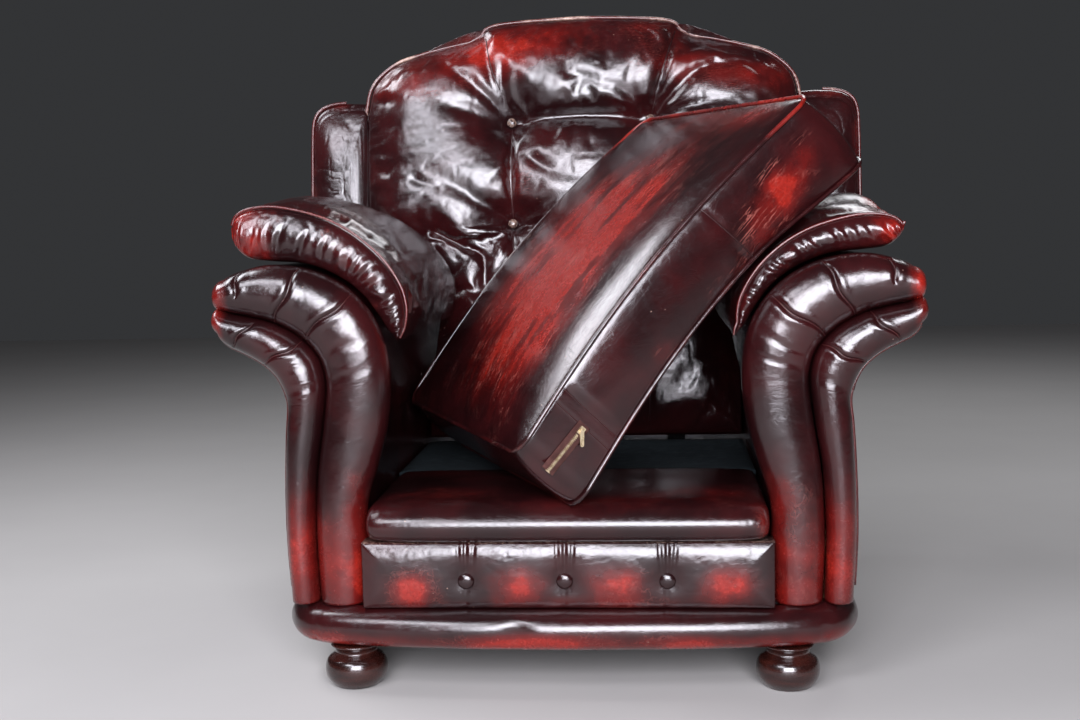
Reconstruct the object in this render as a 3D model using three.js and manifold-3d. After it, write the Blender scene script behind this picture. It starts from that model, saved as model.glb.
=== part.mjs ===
// A worn leather club chair with its loose seat cushion leaning in the seat.
// Millimetres. Seen from the front, +X is to the right. +Y is to the back and +Z is up.
import * as THREE from 'three';
import { mergeVertices } from 'three/addons/utils/BufferGeometryUtils.js';
import Module from 'manifold-3d';

// ---------------------------------------------------------------- driving dimensions
const GAP = 0.4; // clearance between neighbouring pieces
const REACH = 2000; // larger than the chair, for cutting blocks

const BASE_BOTTOM = 61.5;
const BASE_TOP = 117.5;
const SEAT_TOP = 262;
const SEAT_HALF = 279; // half width of the seat between the arms
const RAIL_TOP = 205;

const ROLL_BACK_Y = -352; // flat back of the front rolls, front of the arm bodies
const ARM_BOTTOM = 118;

const BACK_FOOT_Y = 190; // front of the back pad at BACK_FOOT_Z
const BACK_FOOT_Z = 290;
const BACK_LEAN = Math.atan(0.151);
const PAD_THICK = 70;
const BACK_DEEP = 190;

const REAR_FOOT_Y = 362; // front of the outside back panel at its bottom edge
const REAR_LEAN = Math.atan(0.079);
const PANEL_THICK = 5;

const FOOT_SPREAD = 303;
const FOOT_FRONT_Y = -372;
const FOOT_REAR_Y = 318;

// ---------------------------------------------------------------- colours and finishes
const finish = (color, roughness, metalness = 0) => ({ color, roughness, metalness });
const OXBLOOD = finish(0x3a0f12, 0.32);
const OXBLOOD_RUBBED = finish(0x6b1216, 0.36);
const PIPING_LEATHER = finish(0x55181a, 0.4);
const PLATFORM_CLOTH = finish(0x14181b, 0.9);
const DUST_CLOTH = finish(0x101010, 0.95);
const MAHOGANY = finish(0x2a0d09, 0.25);
const BEECH = finish(0xb98d5c, 0.7);
const SPRING_STEEL = finish(0x7d7f82, 0.45, 1);
const ZIP_BRASS = finish(0xb9975a, 0.35, 1);
const ZIP_TAPE = finish(0x241513, 0.85);

// ---------------------------------------------------------------- geometry helpers
const wasm = await Module();
wasm.setup();

function positionsOnly(geometry) {
  const bare = new THREE.BufferGeometry();
  const source = geometry.index ? geometry.toNonIndexed() : geometry;
  bare.setAttribute('position', source.getAttribute('position').clone());
  return mergeVertices(bare, 1e-4);
}

function toSolid(geometry) {
  const merged = positionsOnly(geometry);
  return new wasm.Manifold(new wasm.Mesh({
    numProp: 3,
    vertProperties: new Float32Array(merged.attributes.position.array),
    triVerts: new Uint32Array(merged.index.array),
  }));
}

function fromSolid(solid) {
  const mesh = solid.getMesh();
  const geometry = new THREE.BufferGeometry();
  geometry.setAttribute('position', new THREE.BufferAttribute(mesh.vertProperties, 3));
  geometry.setIndex(new THREE.BufferAttribute(mesh.triVerts, 1));
  return geometry;
}

const cut = (from, ...tools) =>
  fromSolid(tools.reduce((kept, tool) => kept.subtract(toSolid(tool)), toSolid(from)));
const join = (first, ...others) =>
  fromSolid(others.reduce((whole, other) => whole.add(toSolid(other)), toSolid(first)));

// Signed volume of an indexed geometry, used to turn a lofted skin outwards.
function signedVolume(points, faces) {
  let volume = 0;
  for (const [a, b, c] of faces) {
    volume += points[a].dot(new THREE.Vector3().crossVectors(points[b], points[c])) / 6;
  }
  return volume;
}

function skin(points, faces) {
  const turned = signedVolume(points, faces) < 0 ? faces.map(([a, b, c]) => [a, c, b]) : faces;
  const geometry = new THREE.BufferGeometry().setFromPoints(points);
  geometry.setIndex(turned.flat());
  return geometry;
}

// Triangles of a flat cap over a ring, wound the way the ring runs.
function capOf(ring) {
  const normal = new THREE.Vector3();
  ring.forEach((p, i) => normal.add(p.clone().cross(ring[(i + 1) % ring.length])));
  const size = ['x', 'y', 'z'].map((axis) => Math.abs(normal[axis]));
  const flattest = size.indexOf(Math.max(...size));
  const [a, b] = [['y', 'z'], ['x', 'z'], ['x', 'y']][flattest];
  const faces = THREE.ShapeUtils.triangulateShape(ring.map((p) => new THREE.Vector2(p[a], p[b])), []);
  const follows = (i, k) => k === (i + 1) % ring.length;
  const runsAlong = faces.some(([i, k, m]) => follows(i, k) || follows(k, m) || follows(m, i));
  return runsAlong ? faces : faces.map(([i, k, m]) => [i, m, k]);
}

// Joins equal rings of points into one closed skin. An open run of rings gets flat caps.
function loft(rings, closed = false) {
  const count = rings[0].length;
  const faces = [];
  const spans = closed ? rings.length : rings.length - 1;
  for (let i = 0; i < spans; i += 1) {
    const here = i * count;
    const next = ((i + 1) % rings.length) * count;
    for (let j = 0; j < count; j += 1) {
      const k = (j + 1) % count;
      faces.push([here + j, here + k, next + k], [here + j, next + k, next + j]);
    }
  }
  if (!closed) {
    const last = (rings.length - 1) * count;
    for (const [a, b, c] of capOf(rings[0])) faces.push([a, c, b]);
    for (const [a, b, c] of capOf(rings[rings.length - 1])) faces.push([last + a, last + b, last + c]);
  }
  return skin(rings.flat(), faces);
}

// A round cord of leather along a curve: rings in a frame that turns as little as possible.
function cordAlong(curve, radius, steps, sides = 6, closed = false) {
  const count = closed ? steps : steps + 1;
  const points = [];
  for (let i = 0; i < count; i += 1) points.push(curve.getPointAt(i / steps));
  const frames = curve.computeFrenetFrames(steps, closed);
  const rings = points.map((centre, i) => {
    const ring = [];
    for (let j = 0; j < sides; j += 1) {
      const angle = (j / sides) * 2 * Math.PI;
      ring.push(centre.clone()
        .addScaledVector(frames.normals[i], radius * Math.cos(angle))
        .addScaledVector(frames.binormals[i], radius * Math.sin(angle)));
    }
    return ring;
  });
  return loft(rings, closed);
}

const v3 = (x, y, z) => new THREE.Vector3(x, y, z);
const v2 = ([x, y]) => new THREE.Vector2(x, y);
const curve3 = (points, closed = false) =>
  new THREE.CatmullRomCurve3(points, closed, 'catmullrom', 0.5);

// A box from its two corners.
function block(low, high) {
  const size = low.map((value, i) => high[i] - value);
  return new THREE.BoxGeometry(...size)
    .translate(...low.map((value, i) => value + size[i] / 2));
}

// A shape drawn in X and Z, pushed back from y0 to y1.
function pushBack(shape, y0, y1, options = {}) {
  const settings = { depth: y1 - y0, bevelEnabled: false, curveSegments: 6, ...options };
  return new THREE.ExtrudeGeometry(shape, settings)
    .rotateX(Math.PI / 2)
    .translate(0, y1, 0);
}

const mirrored = (half) => [
  ...half,
  ...half.slice().reverse().filter(([x]) => x !== 0).map(([x, y]) => [-x, y]),
];
const polygon = (points) => new THREE.Shape(points.map(v2));

// ---------------------------------------------------------------- the scene graph
const chair = new THREE.Group();

function piece(name, geometry, look, parent = chair) {
  const material = new THREE.MeshStandardMaterial(look);
  const mesh = new THREE.Mesh(geometry, material);
  mesh.name = name;
  parent.add(mesh);
  return mesh;
}

const SIDES = [['left', -1], ['right', 1]];

// Matrices of the two leaning planes of the back.
const leaning = (lean, y, z) => new THREE.Matrix4()
  .makeTranslation(0, y, z)
  .multiply(new THREE.Matrix4().makeRotationX(-lean));
const padFrame = leaning(BACK_LEAN, BACK_FOOT_Y, BACK_FOOT_Z);
const rearFrame = leaning(REAR_LEAN, REAR_FOOT_Y, BASE_BOTTOM);

// Everything behind the outside back panel.
const behindPanel = block([-REACH, -GAP, -REACH], [REACH, REACH, REACH]).applyMatrix4(rearFrame);

// ---------------------------------------------------------------- feet
const FOOT_PROFILE = [
  [0, 0], [28, 0], [35, 4], [42, 14], [44, 26], [41, 38], [33, 45], [29, 49], [31, 54], [34, 60.8], [0, 60.8],
];
for (const [end, y] of [['front', FOOT_FRONT_Y], ['rear', FOOT_REAR_Y]]) {
  for (const [side, s] of SIDES) {
    const foot = piece(`foot_${end}_${side}`,
      new THREE.LatheGeometry(FOOT_PROFILE.map(v2), 16).rotateX(Math.PI / 2), MAHOGANY);
    foot.position.set(s * FOOT_SPREAD, y, 0);
  }
}

// ---------------------------------------------------------------- base roll
// Half round padding around the front and both sides, bowed forward at the front.
const BASE_INNER_LINE = [
  [367, 355], [367, 120], [367, -120], [367, -290], [361, -340], [334, -371], [250, -387], [125, -397], [0, -400],
];
const BASE_ROLL_PROUD = 40;
const BASE_ROLL_STEPS = 42;
const BASE_ROLL_SIDES = 7;

function baseRoll() {
  const line = curve3(mirrored(BASE_INNER_LINE).map(([x, y]) => v3(x, y, 0)));
  const middle = (BASE_BOTTOM + BASE_TOP) / 2;
  const half = (BASE_TOP - BASE_BOTTOM) / 2;
  const rings = [];
  for (let i = 0; i <= BASE_ROLL_STEPS; i += 1) {
    const at = line.getPointAt(i / BASE_ROLL_STEPS);
    const along = line.getTangentAt(i / BASE_ROLL_STEPS);
    const out = v3(-along.y, along.x, 0).multiplyScalar(-1);
    if (out.dot(v3(at.x, at.y, 0)) < 0) out.negate();
    const ring = [];
    for (let j = 0; j <= BASE_ROLL_SIDES; j += 1) {
      const angle = (j / BASE_ROLL_SIDES - 0.5) * Math.PI;
      ring.push(at.clone()
        .addScaledVector(out, BASE_ROLL_PROUD * Math.cos(angle) ** 0.75)
        .add(v3(0, 0, middle + half * Math.sin(angle))));
    }
    rings.push(ring);
  }
  return loft(rings);
}
piece('base_roll', baseRoll(), OXBLOOD_RUBBED);

// ---------------------------------------------------------------- seat frame
const RAIL_BOTTOM = 63;
const FRONT_RAIL_Y = [-370, -346];
const REAR_RAIL_Y = [334, 358];
const SIDE_RAIL_X = [339, 359.5];
const RAIL_INNER = SIDE_RAIL_X[0] - GAP;
const RAIL_FRONT_END = 318; // half length of the front rail, and how far forward the side rails start

piece('rail_front', pushBack(polygon([
  [-RAIL_FRONT_END, RAIL_BOTTOM], [RAIL_FRONT_END, RAIL_BOTTOM], [RAIL_FRONT_END, BASE_TOP],
  [SEAT_HALF, BASE_TOP], [SEAT_HALF, RAIL_TOP], [-SEAT_HALF, RAIL_TOP],
  [-SEAT_HALF, BASE_TOP], [-RAIL_FRONT_END, BASE_TOP],
]), ...FRONT_RAIL_Y), BEECH);
piece('rail_rear', block(
  [-RAIL_INNER, REAR_RAIL_Y[0], RAIL_BOTTOM], [RAIL_INNER, REAR_RAIL_Y[1], BASE_TOP]), BEECH);
for (const [side, s] of SIDES) {
  const rail = piece(`rail_${side}`, block(
    [SIDE_RAIL_X[0], -RAIL_FRONT_END, RAIL_BOTTOM], [SIDE_RAIL_X[1], REAR_RAIL_Y[1], RAIL_TOP]), BEECH);
  if (s < 0) rail.position.x = -(SIDE_RAIL_X[0] + SIDE_RAIL_X[1]);
}

const BLOCK_LEG = 62;
const BLOCK_TALL = 38;
function cornerBlock(s, t) {
  const x = s * (RAIL_INNER - GAP);
  const y = t > 0 ? REAR_RAIL_Y[0] - GAP : FRONT_RAIL_Y[1] + GAP;
  const corner = new THREE.Shape([v2([x, y]), v2([x - s * BLOCK_LEG, y]), v2([x, y - t * BLOCK_LEG])]);
  return new THREE.ExtrudeGeometry(corner, { depth: BLOCK_TALL, bevelEnabled: false })
    .translate(0, 0, RAIL_BOTTOM + 6);
}
for (const [end, t] of [['front', -1], ['rear', 1]]) {
  for (const [side, s] of SIDES) piece(`corner_block_${end}_${side}`, cornerBlock(s, t), BEECH);
}

piece('dust_cover', block([-RAIL_INNER, -344, 61], [RAIL_INNER, 356, 62.5]), DUST_CLOTH);

// Serpentine seat springs from the front rail to the rear rail, side by side.
const SPRING_WIRE = 1.9;
const SPRING_SWING = 20;
const SPRING_PITCH = 78;
const SPRING_PLACES = [-192, -64, 64, 192];
function seatSpring(x) {
  const from = FRONT_RAIL_Y[1] + 4;
  const to = REAR_RAIL_Y[0] - 6;
  const points = [];
  const waves = Math.round((to - from) / SPRING_PITCH);
  const steps = waves * 4;
  for (let i = 0; i <= steps; i += 1) {
    const t = i / steps;
    const swing = SPRING_SWING * Math.sin(t * waves * 2 * Math.PI);
    points.push(v3(x + swing, from + t * (to - from), 196 + 24 * Math.sin(Math.PI * t)));
  }
  return cordAlong(curve3(points), SPRING_WIRE, Math.round(steps * 1.5), 4);
}
SPRING_PLACES.forEach((x, i) => piece(`seat_spring_${i + 1}`, seatSpring(x), SPRING_STEEL));

// ---------------------------------------------------------------- seat lip, platform, front panel
const LIP_BACK_Y = -130;
const lipProfile = new THREE.Shape();
lipProfile.moveTo(-371, 211);
lipProfile.lineTo(-408, 211.5);
lipProfile.bezierCurveTo(-424, 215, -431, 244, -417, 255);
lipProfile.bezierCurveTo(-408, 261, -398, 263, -380, SEAT_TOP + 1);
lipProfile.lineTo(LIP_BACK_Y, SEAT_TOP);
lipProfile.lineTo(LIP_BACK_Y, 246);
lipProfile.lineTo(-340, 246);
lipProfile.lineTo(-340, RAIL_TOP + 6);
const lip = new THREE.ExtrudeGeometry(lipProfile, {
  depth: 2 * SEAT_HALF, bevelEnabled: false, curveSegments: 6,
}).applyMatrix4(new THREE.Matrix4().makeBasis(v3(0, 1, 0), v3(0, 0, 1), v3(1, 0, 0)))
  .translate(-SEAT_HALF, 0, 0);
piece('seat_lip', lip, OXBLOOD);

piece('seat_platform', block(
  [-SEAT_HALF, LIP_BACK_Y + GAP, 244], [SEAT_HALF, BACK_FOOT_Y - 10, SEAT_TOP - 2]), PLATFORM_CLOTH);

const PANEL_FRONT_Y = -408;
piece('front_panel', pushBack(polygon([
  [-SEAT_HALF, 118.5], [SEAT_HALF, 118.5], [SEAT_HALF, 210], [-SEAT_HALF, 210],
]), PANEL_FRONT_Y, FRONT_RAIL_Y[0] - GAP), OXBLOOD_RUBBED);

const BUTTON_PROFILE = [[0, 0], [0.77, 0], [0.97, 1.6], [1, 3.2], [0.85, 5.6], [0.46, 7.2], [0, 7.8]];
const button = (radius) =>
  new THREE.LatheGeometry(BUTTON_PROFILE.map(([share, tall]) => v2([share * radius, tall])), 14);
const FRONT_BUTTON_RADIUS = 12;
const FRONT_BUTTONS = [['left', -138], ['middle', -2], ['right', 138]];
for (const [name, x] of FRONT_BUTTONS) {
  const stud = piece(`front_button_${name}`, button(FRONT_BUTTON_RADIUS).rotateX(Math.PI), OXBLOOD);
  stud.position.set(x, PANEL_FRONT_Y - GAP, 157);
}

// ---------------------------------------------------------------- arms
// Stations up the front of an arm, as x and z: the inner edge of the big roll, the seam between
// the rolls and the outer edge of the small roll.
const ARM_STATIONS = [
  [284, 118, 353, 118, 394, 118],
  [281, 200, 356, 195, 398, 200],
  [281, 256, 355, 252, 398, 258],
  [264, 314, 351, 306, 396, 313],
  [249, 368, 343, 357, 393, 361],
  [243, 425, 337, 400, 390, 392],
  [246, 470, 335, 430, 393, 412],
  [260, 513, 342, 460, 404, 436],
  [287, 550, 358, 483, 420, 453],
  [325, 577, 380, 501, 438, 465],
  [370, 592, 408, 515, 456, 474],
  [415, 595, 438, 523, 470, 481],
  [455, 586, 462, 528, 480, 490],
  [474, 576, 474, 532, 484, 499],
];
const ROLL_SEAM_GAP = 0.8;
const BIG_ROLL_PROUD = 42;
const SMALL_ROLL_PROUD = 36;
const TIP = [[5, 0.92], [11, 0.66], [14, 0.3]]; // how far past the last station, and how full
const stationLine = (at) => new THREE.SplineCurve(ARM_STATIONS.map((row) => v2([row[at], row[at + 1]])));
const innerEdge = stationLine(0);
const rollSeam = stationLine(2);
const outerEdge = stationLine(4);

// A half round roll between two edge lines, flat at the back, with a domed tip.
function frontRoll(edgeA, edgeB, proud, s) {
  const steps = 22;
  const ringAt = (a, b, full) => {
    const middle = a.clone().add(b).multiplyScalar(0.5);
    const half = a.clone().sub(middle);
    const ring = [];
    const sides = 8;
    for (let j = 0; j <= sides; j += 1) {
      const angle = (j / sides) * Math.PI;
      const across = (Math.cos(angle) * full * (half.length() - ROLL_SEAM_GAP)) / half.length();
      ring.push(v3(
        s * (middle.x + half.x * across),
        ROLL_BACK_Y - GAP - proud * full * Math.sin(angle) ** 0.8,
        middle.y + half.y * across));
    }
    return ring;
  };
  const rings = [];
  for (let i = 0; i <= steps; i += 1) {
    rings.push(ringAt(edgeA.getPoint(i / steps), edgeB.getPoint(i / steps), 1));
  }
  const along = edgeA.getTangent(1).add(edgeB.getTangent(1)).normalize();
  for (const [far, full] of TIP) {
    const shift = along.clone().multiplyScalar(far);
    rings.push(ringAt(edgeA.getPoint(1).add(shift), edgeB.getPoint(1).add(shift), full));
  }
  return loft(rings);
}

// The arm behind the rolls: one padded wall that curls over outwards at the top, hollow inside
// for the frame and open underneath.
const ARM_INNER_X = 286;
const ARM_HOLLOW_TOP = 437;
const ARM_HOLLOW_X = 338;
const ARM_WALL = [
  [286, 380], [282, 440], [273, 490], [280, 530], [300, 555], [330, 575], [370, 590], [415, 593.5],
  [455, 584], [478, 571], [487, 552], [488, 512], [480, 489], [456, 473], [425, 455], [404, 435], [396, 408],
];
function armBody(s) {
  const outline = new THREE.Shape();
  outline.moveTo(ARM_INNER_X, ARM_BOTTOM);
  outline.lineTo(...ARM_WALL[0]);
  outline.splineThru(ARM_WALL.slice(1).map(v2));
  outline.lineTo(387, 402);
  outline.lineTo(387, ARM_HOLLOW_TOP);
  outline.lineTo(ARM_HOLLOW_X, ARM_HOLLOW_TOP);
  outline.lineTo(ARM_HOLLOW_X, ARM_BOTTOM);
  const whole = pushBack(outline, ROLL_BACK_Y, 440, { curveSegments: 2 });
  const trimmed = cut(whole, behindPanel);
  return s < 0 ? turnOver(trimmed) : trimmed;
}

// The mirror image in the plane between the arms.
function turnOver(geometry) {
  const flat = geometry.index ? geometry.toNonIndexed() : geometry.clone();
  const p = flat.getAttribute('position');
  for (let i = 0; i < p.count; i += 3) {
    const b = [-p.getX(i + 1), p.getY(i + 1), p.getZ(i + 1)];
    p.setXYZ(i, -p.getX(i), p.getY(i), p.getZ(i));
    p.setXYZ(i + 1, -p.getX(i + 2), p.getY(i + 2), p.getZ(i + 2));
    p.setXYZ(i + 2, ...b);
  }
  return positionsOnly(flat);
}

const OUTSIDE_ARM_TOP = 401.5;
for (const [side, s] of SIDES) {
  piece(`arm_front_roll_${side}`, frontRoll(innerEdge, rollSeam, BIG_ROLL_PROUD, s), OXBLOOD);
  piece(`arm_outer_roll_${side}`, frontRoll(rollSeam, outerEdge, SMALL_ROLL_PROUD, s), OXBLOOD_RUBBED);
  piece(`arm_inside_${side}`, armBody(s), OXBLOOD);
  const panel = cut(block([387.4, ROLL_BACK_Y, ARM_BOTTOM], [397, 440, OUTSIDE_ARM_TOP]), behindPanel);
  piece(`arm_outside_${side}`, s < 0 ? turnOver(panel) : panel, OXBLOOD);
}

// Arm frames, standing in the hollow of each arm.
const ARM_FRAME_X = [342, 383];
const ARM_RAIL_Z = [400, 436];
for (const [side, s] of SIDES) {
  const [x0, x1] = s > 0 ? ARM_FRAME_X : ARM_FRAME_X.map((x) => -x).reverse();
  const inner = s > 0 ? SIDE_RAIL_X[1] + GAP : -(SIDE_RAIL_X[1] + GAP);
  const [p0, p1] = s > 0 ? [inner, x1] : [x0, inner];
  piece(`arm_post_front_${side}`, block([p0, -345, ARM_BOTTOM], [p1, -305, ARM_RAIL_Z[0] - GAP]), BEECH);
  piece(`arm_post_rear_${side}`, block([p0, 300, ARM_BOTTOM], [p1, 333, ARM_RAIL_Z[0] - GAP]), BEECH);
  piece(`arm_top_rail_${side}`, block([x0, -345, ARM_RAIL_Z[0]], [x1, 333, ARM_RAIL_Z[1]]), BEECH);
}

// ---------------------------------------------------------------- arm pillows
// Stations around a pillow's section, as x and z: its upper face and its lower face.
const PILLOW_STATIONS = [
  [468, 647, 467, 633],
  [460, 664, 461, 617],
  [440, 674, 445, 603],
  [405, 676, 412, 598.5],
  [360, 667, 372, 595],
  [322, 653, 337, 584],
  [288, 632, 306, 567],
  [255, 602, 281, 544],
  [231, 566, 261, 516],
  [222, 535, 250, 498],
  [224, 507, 241, 489],
  [232, 488, 236, 484],
];
const PILLOW_FRONT_Y = -350;
const PILLOW_REAR_Y = 176;
// How far back each ring of a pillow lies, and how full its section is there.
const PILLOW_RINGS = [
  [0, 0.55], [6, 0.86], [18, 0.98], [45, 1], [150, 1], [263, 1], [376, 1], [481, 1],
  [508, 0.94], [520, 0.78], [526, 0.5],
];
const PILLOW_PIPING = 3.6;
const PILLOW_CROWN = 13;
// How far the leaning cushion presses the right pillow down, at its front end and further back.
const PRESSED_FRONT = 30;
const PRESSED = 14;
const PRESSED_RUN = 120;

function pillowStations(full, crown, press) {
  return PILLOW_STATIONS.map(([ux, uz, lx, lz]) => {
    const upper = v2([ux, uz]);
    const lower = v2([lx, lz]);
    const middle = upper.clone().add(lower).multiplyScalar(0.5);
    const out = upper.clone().sub(lower).normalize();
    const thick = Math.min(1, upper.distanceTo(lower) / 40);
    return {
      upper: middle.clone().lerp(upper, full).addScaledVector(out, (crown - press) * thick),
      lower: middle.clone().lerp(lower, full),
    };
  });
}

const pressedAt = (pressed, far) => (pressed
  ? PRESSED + (PRESSED_FRONT - PRESSED) * Math.exp(-((far / PRESSED_RUN) ** 2))
  : 0);

function pillow(s, pressed) {
  const long = PILLOW_REAR_Y - PILLOW_FRONT_Y;
  const rings = PILLOW_RINGS.map(([far, full]) => {
    const crown = PILLOW_CROWN * Math.sin((Math.PI * far) / long);
    const rows = pillowStations(full, crown, pressedAt(pressed, far) * full);
    const loop = [...rows.map((row) => row.upper), ...rows.map((row) => row.lower).reverse()];
    return loop.map((p) => v3(s * p.x, PILLOW_FRONT_Y + far, p.y));
  });
  return loft(rings);
}

function pillowEdge(s, pressed, radius) {
  const rows = pillowStations(0.97, 0, pressedAt(pressed, 12));
  return cordAlong(curve3(rows.map((row) => v3(s * row.upper.x, PILLOW_FRONT_Y + 12, row.upper.y))), radius, 20, 5);
}

for (const [side, s] of SIDES) {
  const pressed = s > 0;
  const body = cut(pillow(s, pressed), pillowEdge(s, pressed, PILLOW_PIPING + GAP));
  piece(`arm_pillow_${side}`, body, OXBLOOD);
  piece(`arm_pillow_piping_${side}`, pillowEdge(s, pressed, PILLOW_PIPING), PIPING_LEATHER);
}

// ---------------------------------------------------------------- back pad
// Half outline as x and height up the leaning front plane, from the seat to the stepped crest.
const PAD_LOW = [
  [0, -26], [281, -26], [281, 84], [270, 130], [262, 190], [262, 232], [284, 284], [318, 320], [372, 340],
];
const PAD_SIDE = [
  [391, 366], [396, 420], [397, 466], [397, 510], [396, 545], [391, 583], [384, 613], [368, 636],
  [334, 661], [290, 675], [250, 685], [203, 694],
];
const PAD_CREST = [[181, 706], [172, 718], [150, 725], [105, 729], [40, 732], [0, 733]];
const PAD_HALF = [...PAD_LOW, ...PAD_SIDE, ...PAD_CREST];
const PAD_BEVEL = 8;
const PAD_PIPING = 4;
const PAD_HOLLOW = [[0, -60], [335, -60], [335, 560], [270, 620], [150, 668], [0, 672]];

const padOutline = polygon(mirrored(PAD_HALF));
const padWhole = () => new THREE.ExtrudeGeometry(padOutline, {
  depth: BACK_DEEP - 2 * PAD_BEVEL,
  bevelThickness: PAD_BEVEL,
  bevelSize: PAD_BEVEL,
  bevelOffset: -PAD_BEVEL,
  bevelSegments: 1,
  curveSegments: 4,
}).translate(0, 0, PAD_BEVEL).applyMatrix4(
  padFrame.clone().multiply(new THREE.Matrix4().makeBasis(v3(1, 0, 0), v3(0, 0, 1), v3(0, 1, 0))));

const padHollow = pushBack(polygon(mirrored(PAD_HOLLOW)), PAD_THICK, BACK_DEEP + 60).applyMatrix4(padFrame);
const padEdgeLine = mirrored([...PAD_SIDE, ...PAD_CREST]);
const padEdge = (radius) => cordAlong(
  curve3(padEdgeLine.map(([x, h]) => v3(x * 0.998, 1.2, h * 0.998))), radius, 60, 5).applyMatrix4(padFrame);

function orient(geometry) {
  const merged = positionsOnly(geometry);
  const p = merged.getAttribute('position');
  const points = [];
  for (let i = 0; i < p.count; i += 1) points.push(v3(p.getX(i), p.getY(i), p.getZ(i)));
  const index = merged.index.array;
  const faces = [];
  for (let i = 0; i < index.length; i += 3) faces.push([index[i], index[i + 1], index[i + 2]]);
  return skin(points, faces);
}

piece('back_pad', cut(orient(padWhole()), padHollow, behindPanel, padEdge(PAD_PIPING + GAP)), OXBLOOD);
piece('back_pad_piping', padEdge(PAD_PIPING), PIPING_LEATHER);

const BACK_BUTTONS = [['upper', 542], ['lower', 358]];
const BACK_BUTTON_SPREAD = 125;
const BACK_BUTTON_RADIUS = 9;
for (const [level, h] of BACK_BUTTONS) {
  for (const [side, s] of SIDES) {
    const place = v3(s * BACK_BUTTON_SPREAD, -GAP, h).applyMatrix4(padFrame);
    const stud = piece(`back_button_${level}_${side}`, button(BACK_BUTTON_RADIUS).rotateX(Math.PI), OXBLOOD);
    stud.position.copy(place);
    stud.rotation.x = -BACK_LEAN;
  }
}

// ---------------------------------------------------------------- wings
const WING = [
  [332, 296], [462, 296], [486, 318], [494, 352], [496, 420], [496, 520], [494, 556], [485, 576],
  [464, 588], [430, 593], [372, 590], [332, 560],
];
const WING_FRONT = 4; // how far the wing's face lies behind the pad's front plane
const WING_BOTTOM = 597; // just above the top of the arm
const WING_CLEARANCE = 1.004; // how much wider than the pad the wing is cut for it
const belowWings = block([-REACH, -REACH, -REACH], [REACH, REACH, WING_BOTTOM]);
const widerPad = orient(padWhole().scale(WING_CLEARANCE, 1, 1));

// The room inside the pad's outline, which the wing keeps out of.
const PAD_CORE = [[0, 250], [392, 250], [392, 560], [360, 600], [0, 600]];
const padCore = pushBack(polygon(PAD_CORE), -BACK_DEEP, 2 * BACK_DEEP).applyMatrix4(padFrame);

function wing(s) {
  const whole = pushBack(polygon(WING), WING_FRONT, BACK_DEEP + 40).applyMatrix4(padFrame);
  const body = cut(whole, padCore, widerPad, padEdge(PAD_PIPING + 2 * GAP), behindPanel, belowWings);
  return s < 0 ? turnOver(body) : body;
}
for (const [side, s] of SIDES) {
  piece(`wing_${side}`, wing(s), OXBLOOD);
}

// ---------------------------------------------------------------- outside back and back frame
// Half outline of the panel: the base and arm, the wing and the crest, as x and height.
const REAR_HALF = [
  [0, 0], [392, 0], [396, 60], [396, 342], [404, 373], [425, 394], [456, 412], [480, 428], [488, 454],
  [488, 492], [482, 520], [486, 548], [492, 575], [494, 720], [491, 762], [482, 780], [462, 790], [430, 795],
  [395, 795], [390, 806], [382, 820], [367, 839], [334, 864], [290, 878], [250, 887], [203, 896],
  [181, 908], [172, 920], [150, 927], [105, 932], [0, 935],
];
piece('outside_back',
  pushBack(polygon(mirrored(REAR_HALF)), 0, PANEL_THICK).applyMatrix4(rearFrame), OXBLOOD);

const STILE_X = [150, 182];
const STILE_DEEP = 46;
const STILE_TOP = 898;
const BACK_TOP_RAIL_Z = [846, 896];
const stileRun = (z) => REAR_FOOT_Y + (z - BASE_BOTTOM) * Math.tan(REAR_LEAN) - GAP * 3;
function inBackFrame(x0, x1, z0, z1) {
  const side = [
    [stileRun(z0) - STILE_DEEP, z0], [stileRun(z0), z0], [stileRun(z1), z1], [stileRun(z1) - STILE_DEEP, z1],
  ];
  return new THREE.ExtrudeGeometry(polygon(side), { depth: x1 - x0, bevelEnabled: false })
    .applyMatrix4(new THREE.Matrix4().makeBasis(v3(0, 1, 0), v3(0, 0, 1), v3(1, 0, 0)))
    .translate(x0, 0, 0);
}
for (const [side, s] of SIDES) {
  const [x0, x1] = s > 0 ? STILE_X : STILE_X.map((x) => -x).reverse();
  piece(`back_stile_${side}`, inBackFrame(x0, x1, BASE_TOP + GAP, STILE_TOP), BEECH);
}
const BETWEEN_STILES = STILE_X[0] - GAP;
piece('back_top_rail', inBackFrame(-BETWEEN_STILES, BETWEEN_STILES, ...BACK_TOP_RAIL_Z), BEECH);

// ---------------------------------------------------------------- loose seat cushion
// The cushion leans on its rear end in the seat, its front end up on the right arm. It has its
// own frame: X along its length, Y across its width away from the front, Z out of its top face.
const CUSHION_LONG = 637;
const CUSHION_WIDE = 546;
const CUSHION_THICK = 112;
const CUSHION_ARCH = 26;
const CUSHION_BEVEL = 10;
const CUSHION_PIPING = 4.2;
const CUSHION_CORNER = v3(-54, -481, 345); // its lower near corner, at the top face

const along = v3(0.626, 0.275, 0.730).normalize();
const across = v3(-0.420, 0.907, 0.018);
across.addScaledVector(along, -across.dot(along)).normalize();
const upward = v3().crossVectors(along, across);
const cushion = new THREE.Group();
cushion.matrixAutoUpdate = false;
cushion.matrix.makeBasis(along, across, upward).setPosition(CUSHION_CORNER);
chair.add(cushion);

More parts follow.
